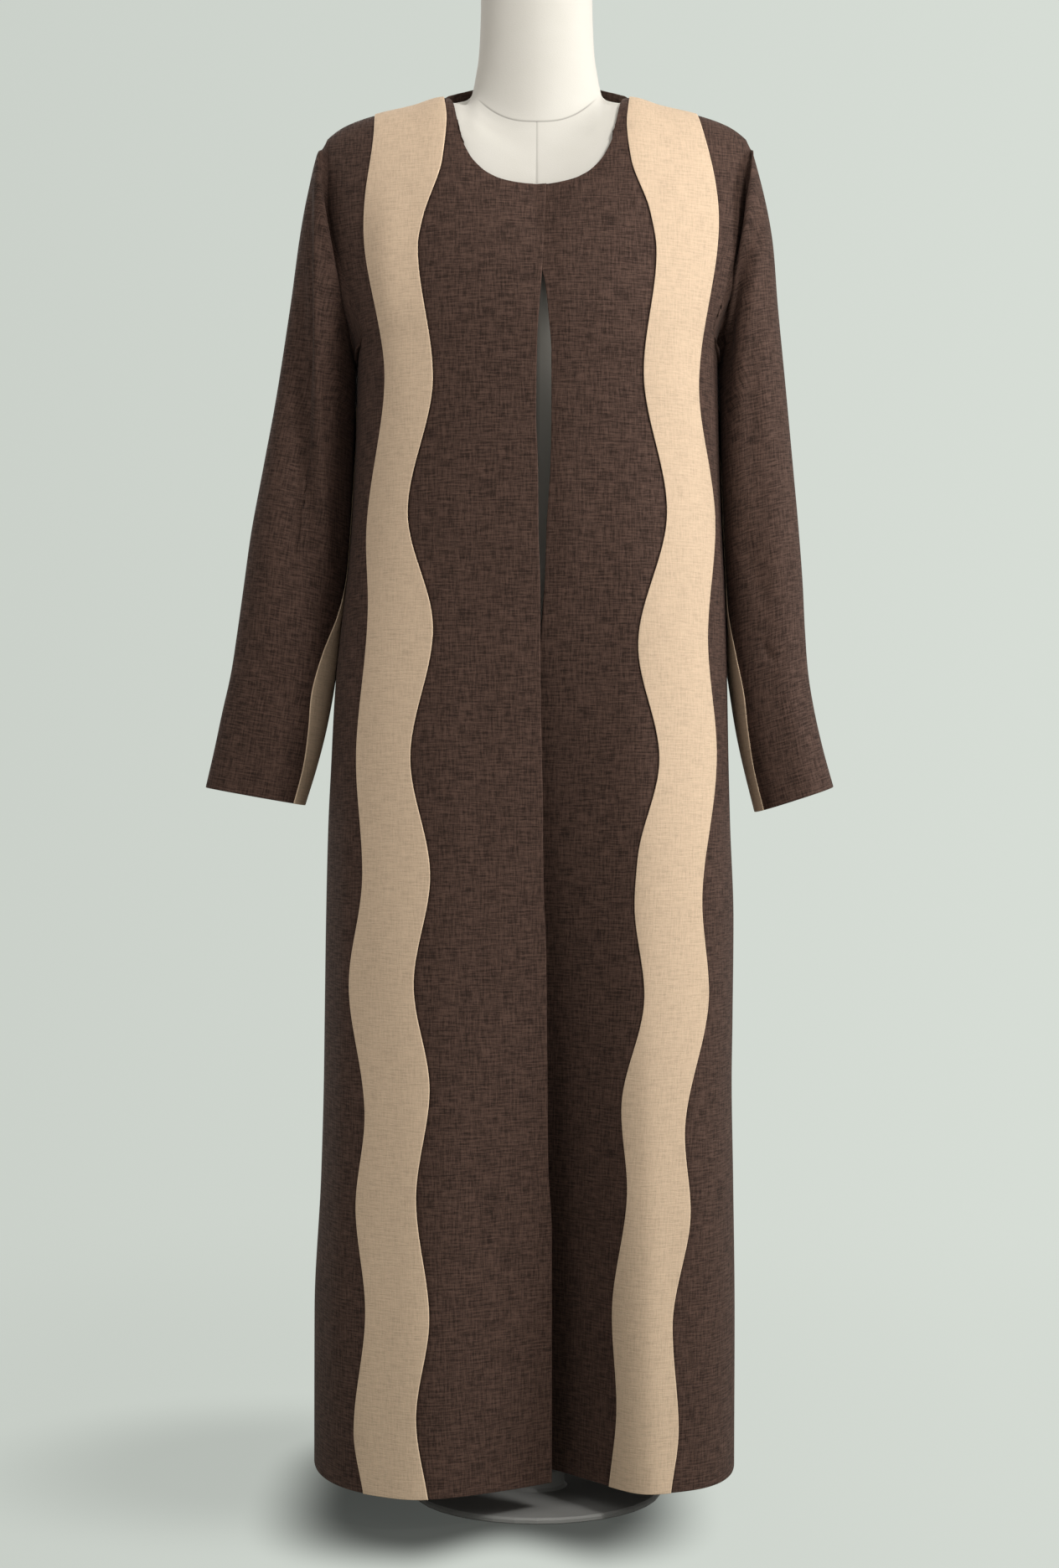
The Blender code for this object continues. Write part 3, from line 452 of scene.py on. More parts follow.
def beyond_edge(grid, toward):
    """The sleeve's raw edge, tucked under the yoke, and the seam line just beyond the edge of the yoke."""
    edge = grid[:YOKE_LINES, -1]
    along = np.gradient(edge, axis=0)
    along[-1] = (0, toward, 0)
    along = unit(along)
    out = edge - grid[5:YOKE_LINES + 5, -10]
    out = unit(out - (out * along).sum(axis=1, keepdims=True) * along)
    facing = np.cross(along, out)
    facing *= np.sign((facing * (edge - (0, 5, 0)) * (1, 1, 0)).sum(axis=1, keepdims=True))
    return np.array([edge - TUCK_IN * out - (CLOTH_WALL + TUCK_UNDER) * facing, edge + ARMHOLE_GAP * out])


def armhole_ring(front, back_half):
    """The sleeve's first two rings, from the shoulder down the front of the armhole and up its back."""
    places = np.concatenate([shoulder_index, MARKS_ROUND - shoulder_index[-2::-1]])
    rings = []
    for ahead, behind in zip(beyond_edge(front, 1), beyond_edge(back_half, -1)):
        shoulder, under = (ahead[0] + behind[0]) / 2, (ahead[-1] + behind[-1]) / 2
        ring = np.concatenate([[shoulder], ahead[1:-1], [under], behind[-2:0:-1], [shoulder]])
        rings.append(np.array([np.interp(marks, places, ring[:, k]) for k in range(3)]).T)
    return rings


# %% From the armhole to the cuff
SEAM_ROWS = (0.0, 0.6, 2.0)  # close rows beside the seam
SLEEVE_ROWS = 116
ROUND_CORNER, BACK_CORNER = 2.2, 4.2  # how square a ring is, and how square at its inner back corner


def clear_of_body(points, turns, side):
    """The same points, moved out where they would come too near the body of the cloak."""
    y, height = points[..., 1], points[..., 2]
    line = body("side_line", height)
    ahead = y < line
    front_name, square_name = ("right_depth", "right_square") if side < 0 else ("left_depth", "left_square")
    depth = np.where(ahead, body(front_name, height) + line, body("back_depth", height) - line)
    square = np.where(ahead, body(square_name, height), body("back_square", height))
    share = np.clip(np.abs(y - line) / depth, 0, 1)
    reach = half_width(np.full_like(y, side), height) * (1 - share**square) ** (1 / square)
    beside_band, at_band = SLEEVE_CLEAR
    clear = np.interp(turns, [130, 165, 240, 260], [beside_band, at_band, at_band, beside_band])
    nearest = np.where(height < UNDERARM + 2, reach + clear, 0)
    moved = points.copy()
    moved[..., 0] = side * np.maximum(np.abs(points[..., 0]), nearest)
    return moved


def sleeve_ring(row, turns, side):
    """The points of one ring of the sleeve table, at these angles round it."""
    out_x, out_high, in_x, in_high, front, back, corner = row
    middle = np.array([(out_x + in_x) / 2, 0, (out_high + in_high) / 2])
    reach = np.array([(out_x - in_x) / 2, 0, (out_high - in_high) / 2])
    c, s = np.cos(np.radians(turns)), np.sin(np.radians(turns))
    inner_back = mix(ROUND_CORNER, BACK_CORNER, ease((in_high - 760) / 140))
    square = np.where((turns > 180) & (turns < 270), inner_back, ROUND_CORNER)
    square = np.where((turns > 90) & (turns <= 180), corner, square)
    level = (front + back) / 2 * 0.3
    deep = np.where(s > 0, level - front, back - level)
    points = middle + reach * (np.sign(c) * np.abs(c) ** (2 / square))[:, None]
    points[:, 1] = level - deep * np.sign(s) * np.abs(s) ** (2 / square)
    return clear_of_body(points, turns, side)


def ring_below_seam(first_ring, turns, side):
    """The seam's ring, moved out in front and behind, and down at the shoulder and under the arm."""
    top = np.maximum(np.cos(np.radians(turns)), 0)
    under = np.maximum(-np.cos(np.radians(turns)), 0) ** 4
    out = side * SLEEVE_STEP * (1 - 0.6 * top - 0.9 * under)
    drawn_in = 4 * np.exp(-(((marks - 11.3) / 1.3) ** 2)) - 0.03 * first_ring[:, 1]
    return first_ring + np.column_stack([out, drawn_in, -0.6 - 4.5 * top - 4 * under])


def sleeve_piece(side, rings, seam_rings):
    """Grid of a sleeve, closed round, and the ring number of each row: -1 at its raw edge, 0 at the seam."""
    tucked, first_ring = seam_rings
    start = 360 / MARKS_ROUND * marks
    control = [first_ring, ring_below_seam(first_ring, start, side)]
    all_turns = [start, start]
    for k, (ring, band_edges) in enumerate(zip(rings, SLEEVE_BAND)):
        even = np.interp(marks, [0, BAND_FIRST, BAND_LAST, MARKS_ROUND], [0, *band_edges, 360])
        all_turns.append(mix(start, even, min(1.0, (k + 1) / 4)))
        control.append(sleeve_ring(ring, all_turns[-1], side))
    middle = np.array(control).mean(axis=1)
    length = np.concatenate([[0], np.cumsum(np.linalg.norm(np.diff(middle, axis=0), axis=1))])
    down_arm = length[-1] * spaced(SLEEVE_ROWS, length[-1])
    down_arm = np.concatenate([SEAM_ROWS, down_arm[down_arm > SEAM_ROWS[-1] + 1]])
    points = clear_of_body(flow(control, down_arm, length), flow(all_turns, down_arm, length), side)
    number = np.interp(down_arm, length, np.arange(len(control), dtype=float))
    return np.concatenate([[tucked], points]), np.concatenate([[-1.0], number])


# %% [markdown]
# ## Creases
# Linen keeps soft folds where it bends. A fold here is a short table of height, place across, rise and
# width: a rise above nought is a ridge, below it a trough, and each fades out at its ends, unless it runs
# on to the hem. A cloth simulation would find folds of its own, but the cloak hangs almost flat, and its
# few folds have known places.

# %% Pushing soft folds out of a grid
def normals_of(grid, side, closed=False):
    """Unit normals of a grid, outwards. Columns run towards the side, so the two sides turn opposite ways."""
    if closed:
        wide = np.concatenate([grid[:, -1:], grid, grid[:, :1]], axis=1)
        across = (wide[:, 2:] - wide[:, :-2]) / 2
    else:
        across = np.gradient(grid, axis=1)
    return side * unit(np.cross(np.gradient(grid, axis=0), across))


def fold_rise(grid, table):
    """How far the folds of a table push each point of a grid, in millimetres."""
    push = np.zeros(grid.shape[:2])
    for fold in table:
        height = np.clip(grid[..., 2], min(row[0] for row in fold), max(row[0] for row in fold))
        place, rise, width = (through(fold, k, height) for k in (1, 2, 3))
        push += rise * np.exp(-(((grid[..., 0] - place) / width) ** 2))
    return push


def run_from(grid, axis, closed=False):
    """Distance of each point of a grid from its first row or column, along the cloth."""
    step = np.linalg.norm(np.diff(grid, axis=axis), axis=2)
    zero = np.zeros_like(np.take(step, [0], axis=axis))
    return np.concatenate([zero, np.cumsum(step, axis=axis)], axis=axis)


# Folds: height, place across, rise, width. A fold starts with no rise and ends with none, or at the hem.
RIGHT_FRONT_FOLDS = (
    ((1350, -148, 0, 14), (1300, -150, 2.6, 15), (1210, -148, 2.2, 16), (1110, -138, 0, 18)),
    ((1352, -176, 0, 12), (1290, -180, -2.4, 14), (1200, -168, -1.8, 14), (1110, -158, 0, 16)),
    ((960, -196, 0, 9), (800, -190, 2.4, 10), (500, -192, 3.0, 12), (200, -199, 2.4, 14), (60, -203, 0, 14)),
    ((1180, -52, 0, 22), (940, -60, -1.4, 26), (700, -58, -1.0, 24), (520, -62, 0, 24)),
    ((640, -88, 0, 20), (420, -92, 1.3, 24), (160, -96, 1.8, 26), (35, -98, 1.2, 26)),
    ((560, -150, 0, 16), (330, -146, -1.6, 20), (120, -150, -2.2, 22), (20, -152, -1.2, 22)),
)
LEFT_FRONT_FOLDS = (
    ((1340, 206, 0, 12), (1260, 200, 1.4, 14), (1150, 178, 1.0, 16), (1040, 180, 0, 16)),
    ((1120, 60, 0, 24), (900, 64, -1.6, 26), (700, 60, 0, 24)),
    ((820, 172, 0, 14), (640, 176, 1.6, 16), (300, 170, 1.2, 18), (90, 176, 0, 18)),
    ((700, 92, 0, 18), (450, 88, 1.5, 22), (150, 96, 2.2, 24), (20, 98, 1.2, 24)),
    ((480, 134, 0, 16), (260, 138, -1.6, 20), (90, 140, -2.0, 20), (20, 140, -1.2, 20)),
)
BACK_FOLDS = (
    ((1270, -128, 0, 22), (1120, -118, 1.8, 26), (860, -110, 2.4, 28), (420, -118, 3.0, 34),
     (35, -124, 3.4, 36)),
    ((1230, -62, 0, 20), (1010, -58, -1.8, 24), (620, -64, -3.0, 30), (35, -70, -3.4, 32)),
    ((1190, 8, 0, 22), (960, 6, 1.2, 26), (500, -4, 2.2, 32), (35, -8, 3.0, 34)),
    ((1250, 72, 0, 20), (1060, 66, -1.6, 26), (560, 74, -2.6, 30), (35, 80, -3.2, 32)),
    ((1280, 134, 0, 20), (1130, 126, 2.2, 24), (700, 132, 2.0, 28), (35, 146, 2.8, 32)),
    ((1400, -150, 0, 14), (1330, -140, -1.3, 18), (1240, -150, 0, 22)),
    ((1395, 148, 0, 14), (1320, 142, -1.5, 18), (1250, 156, 0, 20)),
)
# On the sleeves a plus in the first place stands for the front of the sleeve, a minus for its back
RIGHT_SLEEVE_FOLDS = {
    +1: (((1378, -228, 0, 4.0), (1336, -227, 2.2, 4.5), (1216, -226, 4.2, 4.5), (1156, -225, 5.0, 5.0),
          (1088, -223, 4.6, 5.5), (994, -217, 2.6, 7.0), (925, -212, 0, 8.0)),
         ((1372, -234, 0, 5.0), (1320, -236, -4.0, 6.0), (1216, -237, -9.0, 6.5), (1156, -237, -11, 7.0),
          (1088, -236, -11, 7.5), (994, -231, -7.0, 9), (890, -232, 0, 14)),
         ((1345, -247, 0, 9), (1275, -248, -7.0, 10), (1216, -249, -13, 11), (1156, -250, -16, 12),
          (1088, -250, -16, 13), (1000, -250, -11, 15), (900, -256, -4.0, 17), (780, -270, 0, 18)),
         ((905, -300, 0, 7), (868, -286, -1.3, 8), (830, -262, -1.5, 8), (800, -248, 0, 7))),
    -1: (((1370, -214, 0, 10), (1290, -226, -2.2, 12), (1180, -236, -1.8, 14), (1080, -262, 0, 14)),
         ((1080, -222, 0, 8), (1020, -238, -2.4, 9), (975, -262, -2.0, 9), (935, -286, 0, 8)),
         ((1000, -216, 0, 8), (948, -236, -2.0, 9), (905, -262, -1.6, 9), (880, -286, 0, 8)),
         ((860, -232, 0, 8), (820, -262, -1.5, 10), (770, -300, 0, 10))),
}
LEFT_SLEEVE_FOLDS = {
    +1: (((1382, 222, 0, 5), (1335, 219, 1.6, 6), (1270, 213, 1.6, 7), (1200, 206, 0, 8)),
         ((1330, 223, 0, 6), (1302, 217.5, -2.6, 7), (1251, 205, -6.0, 8), (1205, 194, -8.0, 8),
          (1165, 191, -5, 8), (1105, 193, 0, 8)),
         ((1330, 238, 0, 6), (1262, 224, 2.0, 7), (1180, 212, 2.4, 8), (1090, 208, 1.6, 8),
          (1000, 210, 0, 8)),
         ((1130, 246, 0, 10), (1050, 238, -1.3, 12), (960, 240, 0, 12)),
         ((890, 231, 0, 3.5), (874, 237, -2.6, 4.0), (868, 245, -2.0, 5.0), (864, 258, 0, 6)),
         ((1010, 214, 0, 8), (960, 222, -1.4, 9), (920, 236, 0, 10)),
         ((840, 262, 0, 10), (800, 268, 1.2, 12), (745, 276, 0, 14))),
    -1: (((1372, 216, 0, 10), (1285, 224, -2.2, 12), (1180, 232, -1.6, 14), (1090, 246, 0, 14)),
         ((1060, 214, 0, 8), (1010, 226, -2.4, 9), (968, 246, -2.0, 9), (930, 266, 0, 8)),
         ((985, 208, 0, 8), (938, 224, -1.9, 9), (900, 246, -1.6, 9), (872, 268, 0, 8))),
}

# %% [markdown]
# ## Walls, rims and weave lines
# Cloth has two faces and an edge that is turned under, so each piece becomes a closed wall whose rim is
# rounded, with a painted highlight along it. The gaps at the seams, half a millimetre or less, then read as
# real seams. Beside the band the cloth is pressed into a shallow ditch, as sewing down a band does, and the
# ditch gets painted shade. Each corner also gets its place along and across the threads, in metres, so that
# the weave keeps its true size however the panel bends.

# %% Rims and faces of a wall
def rim_of(grid, closed, half_wall):
    """How far each point lies from the nearest edge, and how far the two faces draw together there."""
    from_top = run_from(grid, 0)
    edge = np.minimum(from_top, from_top[-1] - from_top)
    if not closed:
        from_first = run_from(grid, 1)
        edge = np.minimum(edge, np.minimum(from_first, from_first[:, -1:] - from_first))
    near_rim = 1 - np.clip(edge / (1.6 * half_wall), 0, 1)
    return edge, 0.85 * half_wall * (1 - np.sqrt(1 - near_rim**2))


def wall_faces(rows, columns, closed, flipped):
    """Faces of both sides and of the rim, with the row and the column of each of their corners."""
    count = rows * columns
    i, j = (a.reshape(-1) for a in np.meshgrid(np.arange(rows - 1), np.arange(columns - (not closed)),
                                               indexing="ij"))
    quad_i = np.stack([i, i + 1, i + 1, i], axis=1)
    quad_j = np.stack([j, j, j + 1, j + 1], axis=1)
    turn_over = [0, 3, 2, 1]
    outer = slice(None), (turn_over if flipped else [0, 1, 2, 3])
    inner = slice(None), ([0, 1, 2, 3] if flipped else turn_over)
    sides = [(quad_i[outer], quad_j[outer], 0), (quad_i[inner], quad_j[inner], count)]
    faces = [i * columns + j % columns + base for i, j, base in sides]
    corners = [np.stack([i, j], axis=2) for i, j, base in sides]
    lines = [[(0, j) for j in range(columns + closed)],
             [(rows - 1, j) for j in range(columns + closed)][::-1]]
    if not closed:
        lines += [[(i, 0) for i in range(rows)][::-1], [(i, columns - 1) for i in range(rows)]]
    for line in lines:
        a, b = np.array(line[:-1]), np.array(line[1:])
        ring = np.stack([a, b, b, a], axis=1)
        base = np.array([0, 0, count, count])
        if flipped:
            ring, base = ring[:, turn_over], base[turn_over]
        faces.append(ring[..., 0] * columns + ring[..., 1] % columns + base)
        corners.append(ring)
    return np.concatenate(faces), np.concatenate(corners)


# %% Making a wall from a grid
def mark_points(mesh, label, values):
    """Gives each point of a mesh a number that a material can read."""
    mesh.attributes.new(label, "FLOAT", "POINT").data.foreach_set("value", values.astype(np.float32))


def cloth_wall(name, grid, normals, inside, outside, weave, closed=False, flipped=False, ditch=None):
    """A closed wall of cloth between two distances from a grid, with its rim rounded."""
    rows, columns = grid.shape[:2]
    edge, pinch = rim_of(grid, closed, (outside - inside) / 2)
    points = np.concatenate([(grid + normals * (d + sign * pinch)[..., None]).reshape(-1, 3)
                             for d, sign in ((outside, -1), (inside, 1))])
    faces, corners = wall_faces(rows, columns, closed, flipped)
    mesh = bpy.data.meshes.new(name)
    mesh.from_pydata((points * MM).tolist(), [], faces.tolist())
    mesh.polygons.foreach_set("use_smooth", np.ones(len(faces), bool))
    threads = mesh.uv_layers.new(name="threads")
    threads.data.foreach_set("uv", (weave[corners[..., 0], corners[..., 1]] * MM).astype(np.float32).ravel())
    mark_points(mesh, "from_edge", np.tile((np.minimum(edge, 50) * MM).reshape(-1), 2))
    if ditch is not None:
        mark_points(mesh, "ditch", np.tile(ditch.reshape(-1), 2))
    print(f"{name}: {rows} x {columns} points, {2 * len(faces)} triangles")
    return in_scene(name, mesh)


# %% Places along the threads
def path_length(a, b):
    """Length of the paths that run along the first axis of two coordinates."""
    return np.hypot(np.diff(a, axis=0), np.diff(b, axis=0)).sum(axis=0)


def panel_threads(grid, surface, hang_line):
    """Across and up the threads of a panel, measured on its surface, which is level below the hang line."""
    x, height = grid[..., 0], grid[..., 2]
    level = np.minimum(height, hang_line)
    narrowed = half_width(x, height) / half_width(x, level)
    share = share_out(x, height)
    along = np.linspace(0, 1, 33)[:, None, None]
    out = np.sin(along * np.arcsin(share)) * np.sign(x) * half_width(x, level)
    across = path_length(out, surface(out, level + 0 * out)) * narrowed
    across = mix(across, np.abs(x), ease((height - hang_line) / 150)) * np.sign(x)
    rise = mix(level, height, np.linspace(0, 1, 17)[:, None, None])
    over = surface(share * np.sign(x) * half_width(x + 0 * rise, rise), rise)
    return np.dstack([across, level + path_length(rise, over)])


def sleeve_threads(grid):
    """Round and up a sleeve, from its outer edge. Only what is square to the warp counts as across."""
    ring = np.concatenate([grid, grid[:, :1]], axis=1)
    warp = unit(np.gradient(ring, axis=0))
    warp = (warp[:, 1:] + warp[:, :-1]) / 2
    step = np.diff(ring, axis=1)
    step = step - (step * warp).sum(axis=2, keepdims=True) * warp
    across = np.cumsum(np.linalg.norm(step, axis=2), axis=1)
    up = run_from(ring, 0)
    return np.dstack([np.concatenate([0 * across[:, :1], across], axis=1), up[-1:] - up])


# %% [markdown]
# ## Linen
# Linen yarn is uneven: thick places, called slubs, show as short pale or dark dashes that run both ways.
# A noise that is stretched along the yarn gives such dashes, one noise for each direction, and finer ones
# give the single threads. Their sum drives the colour, the roughness and the bump together, as one yarn
# does. A picture of cloth would be quicker, but it would repeat.

# %% Small helpers for materials
def fill(tree, node, links):
    """Sets a node's sockets to numbers, or links them from other nodes."""
    for socket, value in dict(links).items():
        target = node.inputs[socket]
        if isinstance(value, bpy.types.NodeSocket):
            tree.links.new(value, target)
        else:
            target.default_value = value


def add(tree, kind, links=(), **settings):
    """A new node with its settings made and its sockets filled."""
    made = tree.nodes.new(kind)
    for key, value in settings.items():
        setattr(made, key, value)
    fill(tree, made, links)
    return made


def sums(tree, operation, a, b=0.0, *more):
    return add(tree, "ShaderNodeMath", dict(enumerate((a, b, *more))), operation=operation).outputs[0]


def ranged(tree, value, start, end, at_start, at_end, **settings):
    """A value carried over from one range to another, and held beyond its ends."""
    return add(tree, "ShaderNodeMapRange", {"Value": value, "From Min": start, "From Max": end,
                                            "To Min": at_start, "To Max": at_end}, **settings).outputs[0]


def blended(tree, share, first, second):
    """A colour between two others."""
    return add(tree, "ShaderNodeMix", {"Factor": share, 6: first, 7: second}, data_type="RGBA").outputs[2]


def marked(tree, label):
    """The number that mark_points gave the points of the mesh, or 0 where it gave none."""
    return add(tree, "ShaderNodeAttribute", attribute_name=label).outputs["Fac"]


def bumped(tree, height, strength, distance):
    links = {"Height": height, "Strength": strength, "Distance": distance}
    return add(tree, "ShaderNodeBump", links).outputs[0]


def streaks(tree, place, across, along, detail=2.0):
    """Noise drawn out along the yarn: how many dashes to a metre across the cloth and along it."""
    stretched = add(tree, "ShaderNodeMapping", {"Vector": place, "Scale": (across, along, 1.0)}).outputs[0]
    links = {"Vector": stretched, "Scale": 1.0, "Detail": detail, "Roughness": 0.55}
    return add(tree, "ShaderNodeTexNoise", links, noise_dimensions="2D").outputs["Fac"]


def speckle(tree, place, scale, detail):
    """Even noise: how many spots to a metre, and how much finer noise lies in them."""
    return add(tree, "ShaderNodeTexNoise", {"Vector": place, "Scale": scale, "Detail": detail}).outputs["Fac"]


def empty_material(name):
    made = bpy.data.materials.new(name)
    made.use_nodes = True
    made.node_tree.nodes.clear()
    return made, made.node_tree


def new_material(name):
    made, tree = empty_material(name)
    shader = add(tree, "ShaderNodeBsdfPrincipled")
    add(tree, "ShaderNodeOutputMaterial", {"Surface": shader.outputs[0]})
    return made, tree, shader


# %% The two linens
CLOUD = 0.15  # the weight of the slow changes of tone, a few centimetres wide


def linen(name, colours, slub, yarn, edge_highlight, sheen):
    """Slubbed linen. colours run from the deepest place between the yarns to the palest slub."""
    made, tree, shader = new_material(name)
    place = add(tree, "ShaderNodeUVMap", uv_map="threads").outputs[0]
    weft = streaks(tree, place, 50, 580)
    warp = streaks(tree, place, 520, 50)
    weft_yarn = streaks(tree, place, 170, 1300, 1.0)
    warp_yarn = streaks(tree, place, 1300, 150, 1.0)
    cloud = streaks(tree, place, 14, 22, 3.0)
    level = 0.5 - 0.5 * (sum(slub) + 2 * yarn + CLOUD)  # brings the mean of the sum to a half
    total = sums(tree, "MULTIPLY_ADD", weft, slub[0], level)
    for part, weight in ((warp, slub[1]), (weft_yarn, yarn), (warp_yarn, yarn), (cloud, CLOUD)):
        total = sums(tree, "ADD", total, sums(tree, "MULTIPLY", part, weight))
    ramp = add(tree, "ShaderNodeValToRGB", {"Fac": total})
    stops = ramp.color_ramp.elements
    for k, (position, colour) in enumerate(colours):
        stop = stops[k] if k < 2 else stops.new(position)
        stop.position, stop.color = position, (*colour, 1.0)
    # painted highlight: within about a millimetre of every edge the colour is lighter, where the turned rim
    # would catch the light
    rim = ranged(tree, marked(tree, "from_edge"), 0.0005, 0.0014, edge_highlight, 0.0)
    painted_highlight = (*[min(1.0, c * 1.5) for c in colours[2][1]], 1.0)
    pale = blended(tree, rim, ramp.outputs[0], painted_highlight)
    # painted shade: the ditch beside a band is darkened towards the tone between the yarns
    painted_ditch_shade = sums(tree, "MULTIPLY", marked(tree, "ditch"), 0.75)
    deep = blended(tree, painted_ditch_shade, pale, (*colours[0][1], 1.0))
    rough = ranged(tree, total, 0.2, 0.8, 0.86, 0.70)
    fill(tree, shader, {"Base Color": deep, "Roughness": rough, "Normal": bumped(tree, total, 0.45, 0.0005),
                        "Sheen Weight": sheen, "Sheen Roughness": 0.5, "Specular IOR Level": 0.15})
    return made


def shades(colour, deep, pale):
    """Four tones of one yarn colour, from the gaps between the yarns to the palest slub."""
    tones = ((0.10, deep), (0.50, 1.0), (0.72, (1 + pale) / 2), (0.95, pale))
    return [(place, [min(1.0, c * tone) for c in colour]) for place, tone in tones]


dark_linen = linen("dark_slubbed_linen", shades((0.0595, 0.0345, 0.0263), 0.42, 1.62),
                   slub=(1.25, 1.05), yarn=0.6, edge_highlight=0.22, sheen=0.02)
beige_linen = linen("pale_slubbed_linen", shades((0.600, 0.462, 0.332), 0.82, 1.11),
                    slub=(0.9, 0.7), yarn=0.5, edge_highlight=0.35, sheen=0.02)
print("linens:", dark_linen.name, beige_linen.name)

# %% [markdown]
# ## Fronts and their bands
# Each front is one panel from the shoulder to the hem. Its band is cut from pale linen in the same wave,
# turned under at both edges and sewn on top. It is made from the panel's own columns, moved out by its
# lift, so it follows every fold of the panel. Modelling it apart and projecting it down would leave gaps.

# %% Fronts
DITCH_DEPTH, DITCH_REACH = 0.6, 1.4  # how deep the cloth is pressed beside a band, and how far out


def declare(piece, node, slot):
    """Gives a cloth piece its finish and its body, and hides the node of the frame that it stands for."""
    piece.data.materials.append({"dark_linen": dark_linen, "beige_linen": beige_linen}[slot])
    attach(piece, "root")
    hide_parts(node)


fronts = {}
for word, side, table in (("right", -1, RIGHT_FRONT_FOLDS), ("left", 1, LEFT_FRONT_FOLDS)):
    grid, (first, last) = front_piece(side)
    grid = grid + normals_of(grid, side) * fold_rise(grid, table)[..., None]
    fronts[side] = grid
    outward = normals_of(grid, side)
    across = run_from(grid, 1)
    out_of_band = np.maximum(np.maximum(across[:, [first]] - across, across - across[:, [last]]), 0)
    # in the material the same mask also darkens the cloth in the ditch with painted shade
    ditch = np.exp(-((out_of_band / DITCH_REACH) ** 2))
    threads = panel_threads(grid, lambda x, height: front_y(x, height, side), BUST_LINE)
    front = cloth_wall("linen_front_" + word, grid - outward * (DITCH_DEPTH * ditch)[..., None], outward,
                       -CLOTH_WALL, 0, threads, flipped=side < 0, ditch=ditch)
    declare(front, "front_" + word, "dark_linen")
    band = slice(first, last + 1)
    strip = cloth_wall("wave_band_" + word, grid[:, band], outward[:, band], BAND_LIFT,
                       BAND_LIFT + BAND_WALL, threads[:, band], flipped=side < 0)
    declare(strip, "front_band_" + word, "beige_linen")

# %% [markdown]
# ## Back
# The back is one panel with no seam at its centre, cut to the same shoulder seams and side seams. It
# hangs free from the shoulder blades, and its cloth falls in a few long, soft folds that grow towards the
# hem.

# %% Back
back_grid = back_piece()
back_grid = back_grid + normals_of(back_grid, -1) * fold_rise(back_grid, BACK_FOLDS)[..., None]
centre_back = back_grid.shape[1] // 2
back_threads = panel_threads(back_grid, back_y, BLADE_LINE)
back = cloth_wall("linen_back", back_grid, normals_of(back_grid, -1), -CLOTH_WALL, 0, back_threads,
                  flipped=True)
declare(back, "back", "dark_linen")

# %% [markdown]
# ## Sleeves
# Each sleeve is one tube of cloth, set into the armhole. Its folds run down from the armhole and lie
# where an elbow would bend. The pale band lies along its inside, towards the back, so that only a strip
# of it shows from the front.

# %% Sleeves and their bands
FOLDS_FROM = 0.8  # the ring at which the folds begin. They are full as far below it again

for word, side, rings, folds, half in (
    ("right", -1, RIGHT_SLEEVE, RIGHT_SLEEVE_FOLDS, back_grid[:, centre_back::-1]),
    ("left", 1, LEFT_SLEEVE, LEFT_SLEEVE_FOLDS, back_grid[:, centre_back:]),
):
    grid, numbers = sleeve_piece(side, rings, armhole_ring(fronts[side], half))
    outward = normals_of(grid, -side, closed=True)
    below_seam = ease((numbers[:, None] - FOLDS_FROM) / FOLDS_FROM)
    for facing, table in folds.items():
        share = ease(-facing * outward[..., 1] * 1.8 + 0.1)
        grid = grid + outward * (share * fold_rise(grid, table) * below_seam)[..., None]
    outward = normals_of(grid, -side, closed=True)
    threads = sleeve_threads(grid)
    sleeve = cloth_wall("linen_sleeve_" + word, grid, outward, -CLOTH_WALL, 0, threads, closed=True,
                        flipped=side > 0)
    declare(sleeve, "sleeve_" + word, "dark_linen")
    columns = slice(*np.searchsorted(marks, (BAND_FIRST, BAND_LAST + 0.001)))
    rows = slice(int(np.searchsorted(numbers, SLEEVE_BAND_START)), None)
    strip = cloth_wall("sleeve_wave_" + word, grid[rows, columns], outward[rows, columns], BAND_LIFT,
                       BAND_LIFT + BAND_WALL, threads[rows, columns], flipped=side > 0)
    declare(strip, "sleeve_band_" + word, "beige_linen")

# %% [markdown]
# ## The dress form
# A limbless form is a padded shell covered tightly with pale cloth. Its cover is sewn from sections: one
# seam runs round the base of the neck and one down the centre front. The form is a loft through level
# rings, as in the frame, with lines close together beside the two seams so that each can be pressed in as
# a fine groove. Under the cloak its shoulders are lowered by the cloth's wall and a small gap, so that
# neither cuts the other.

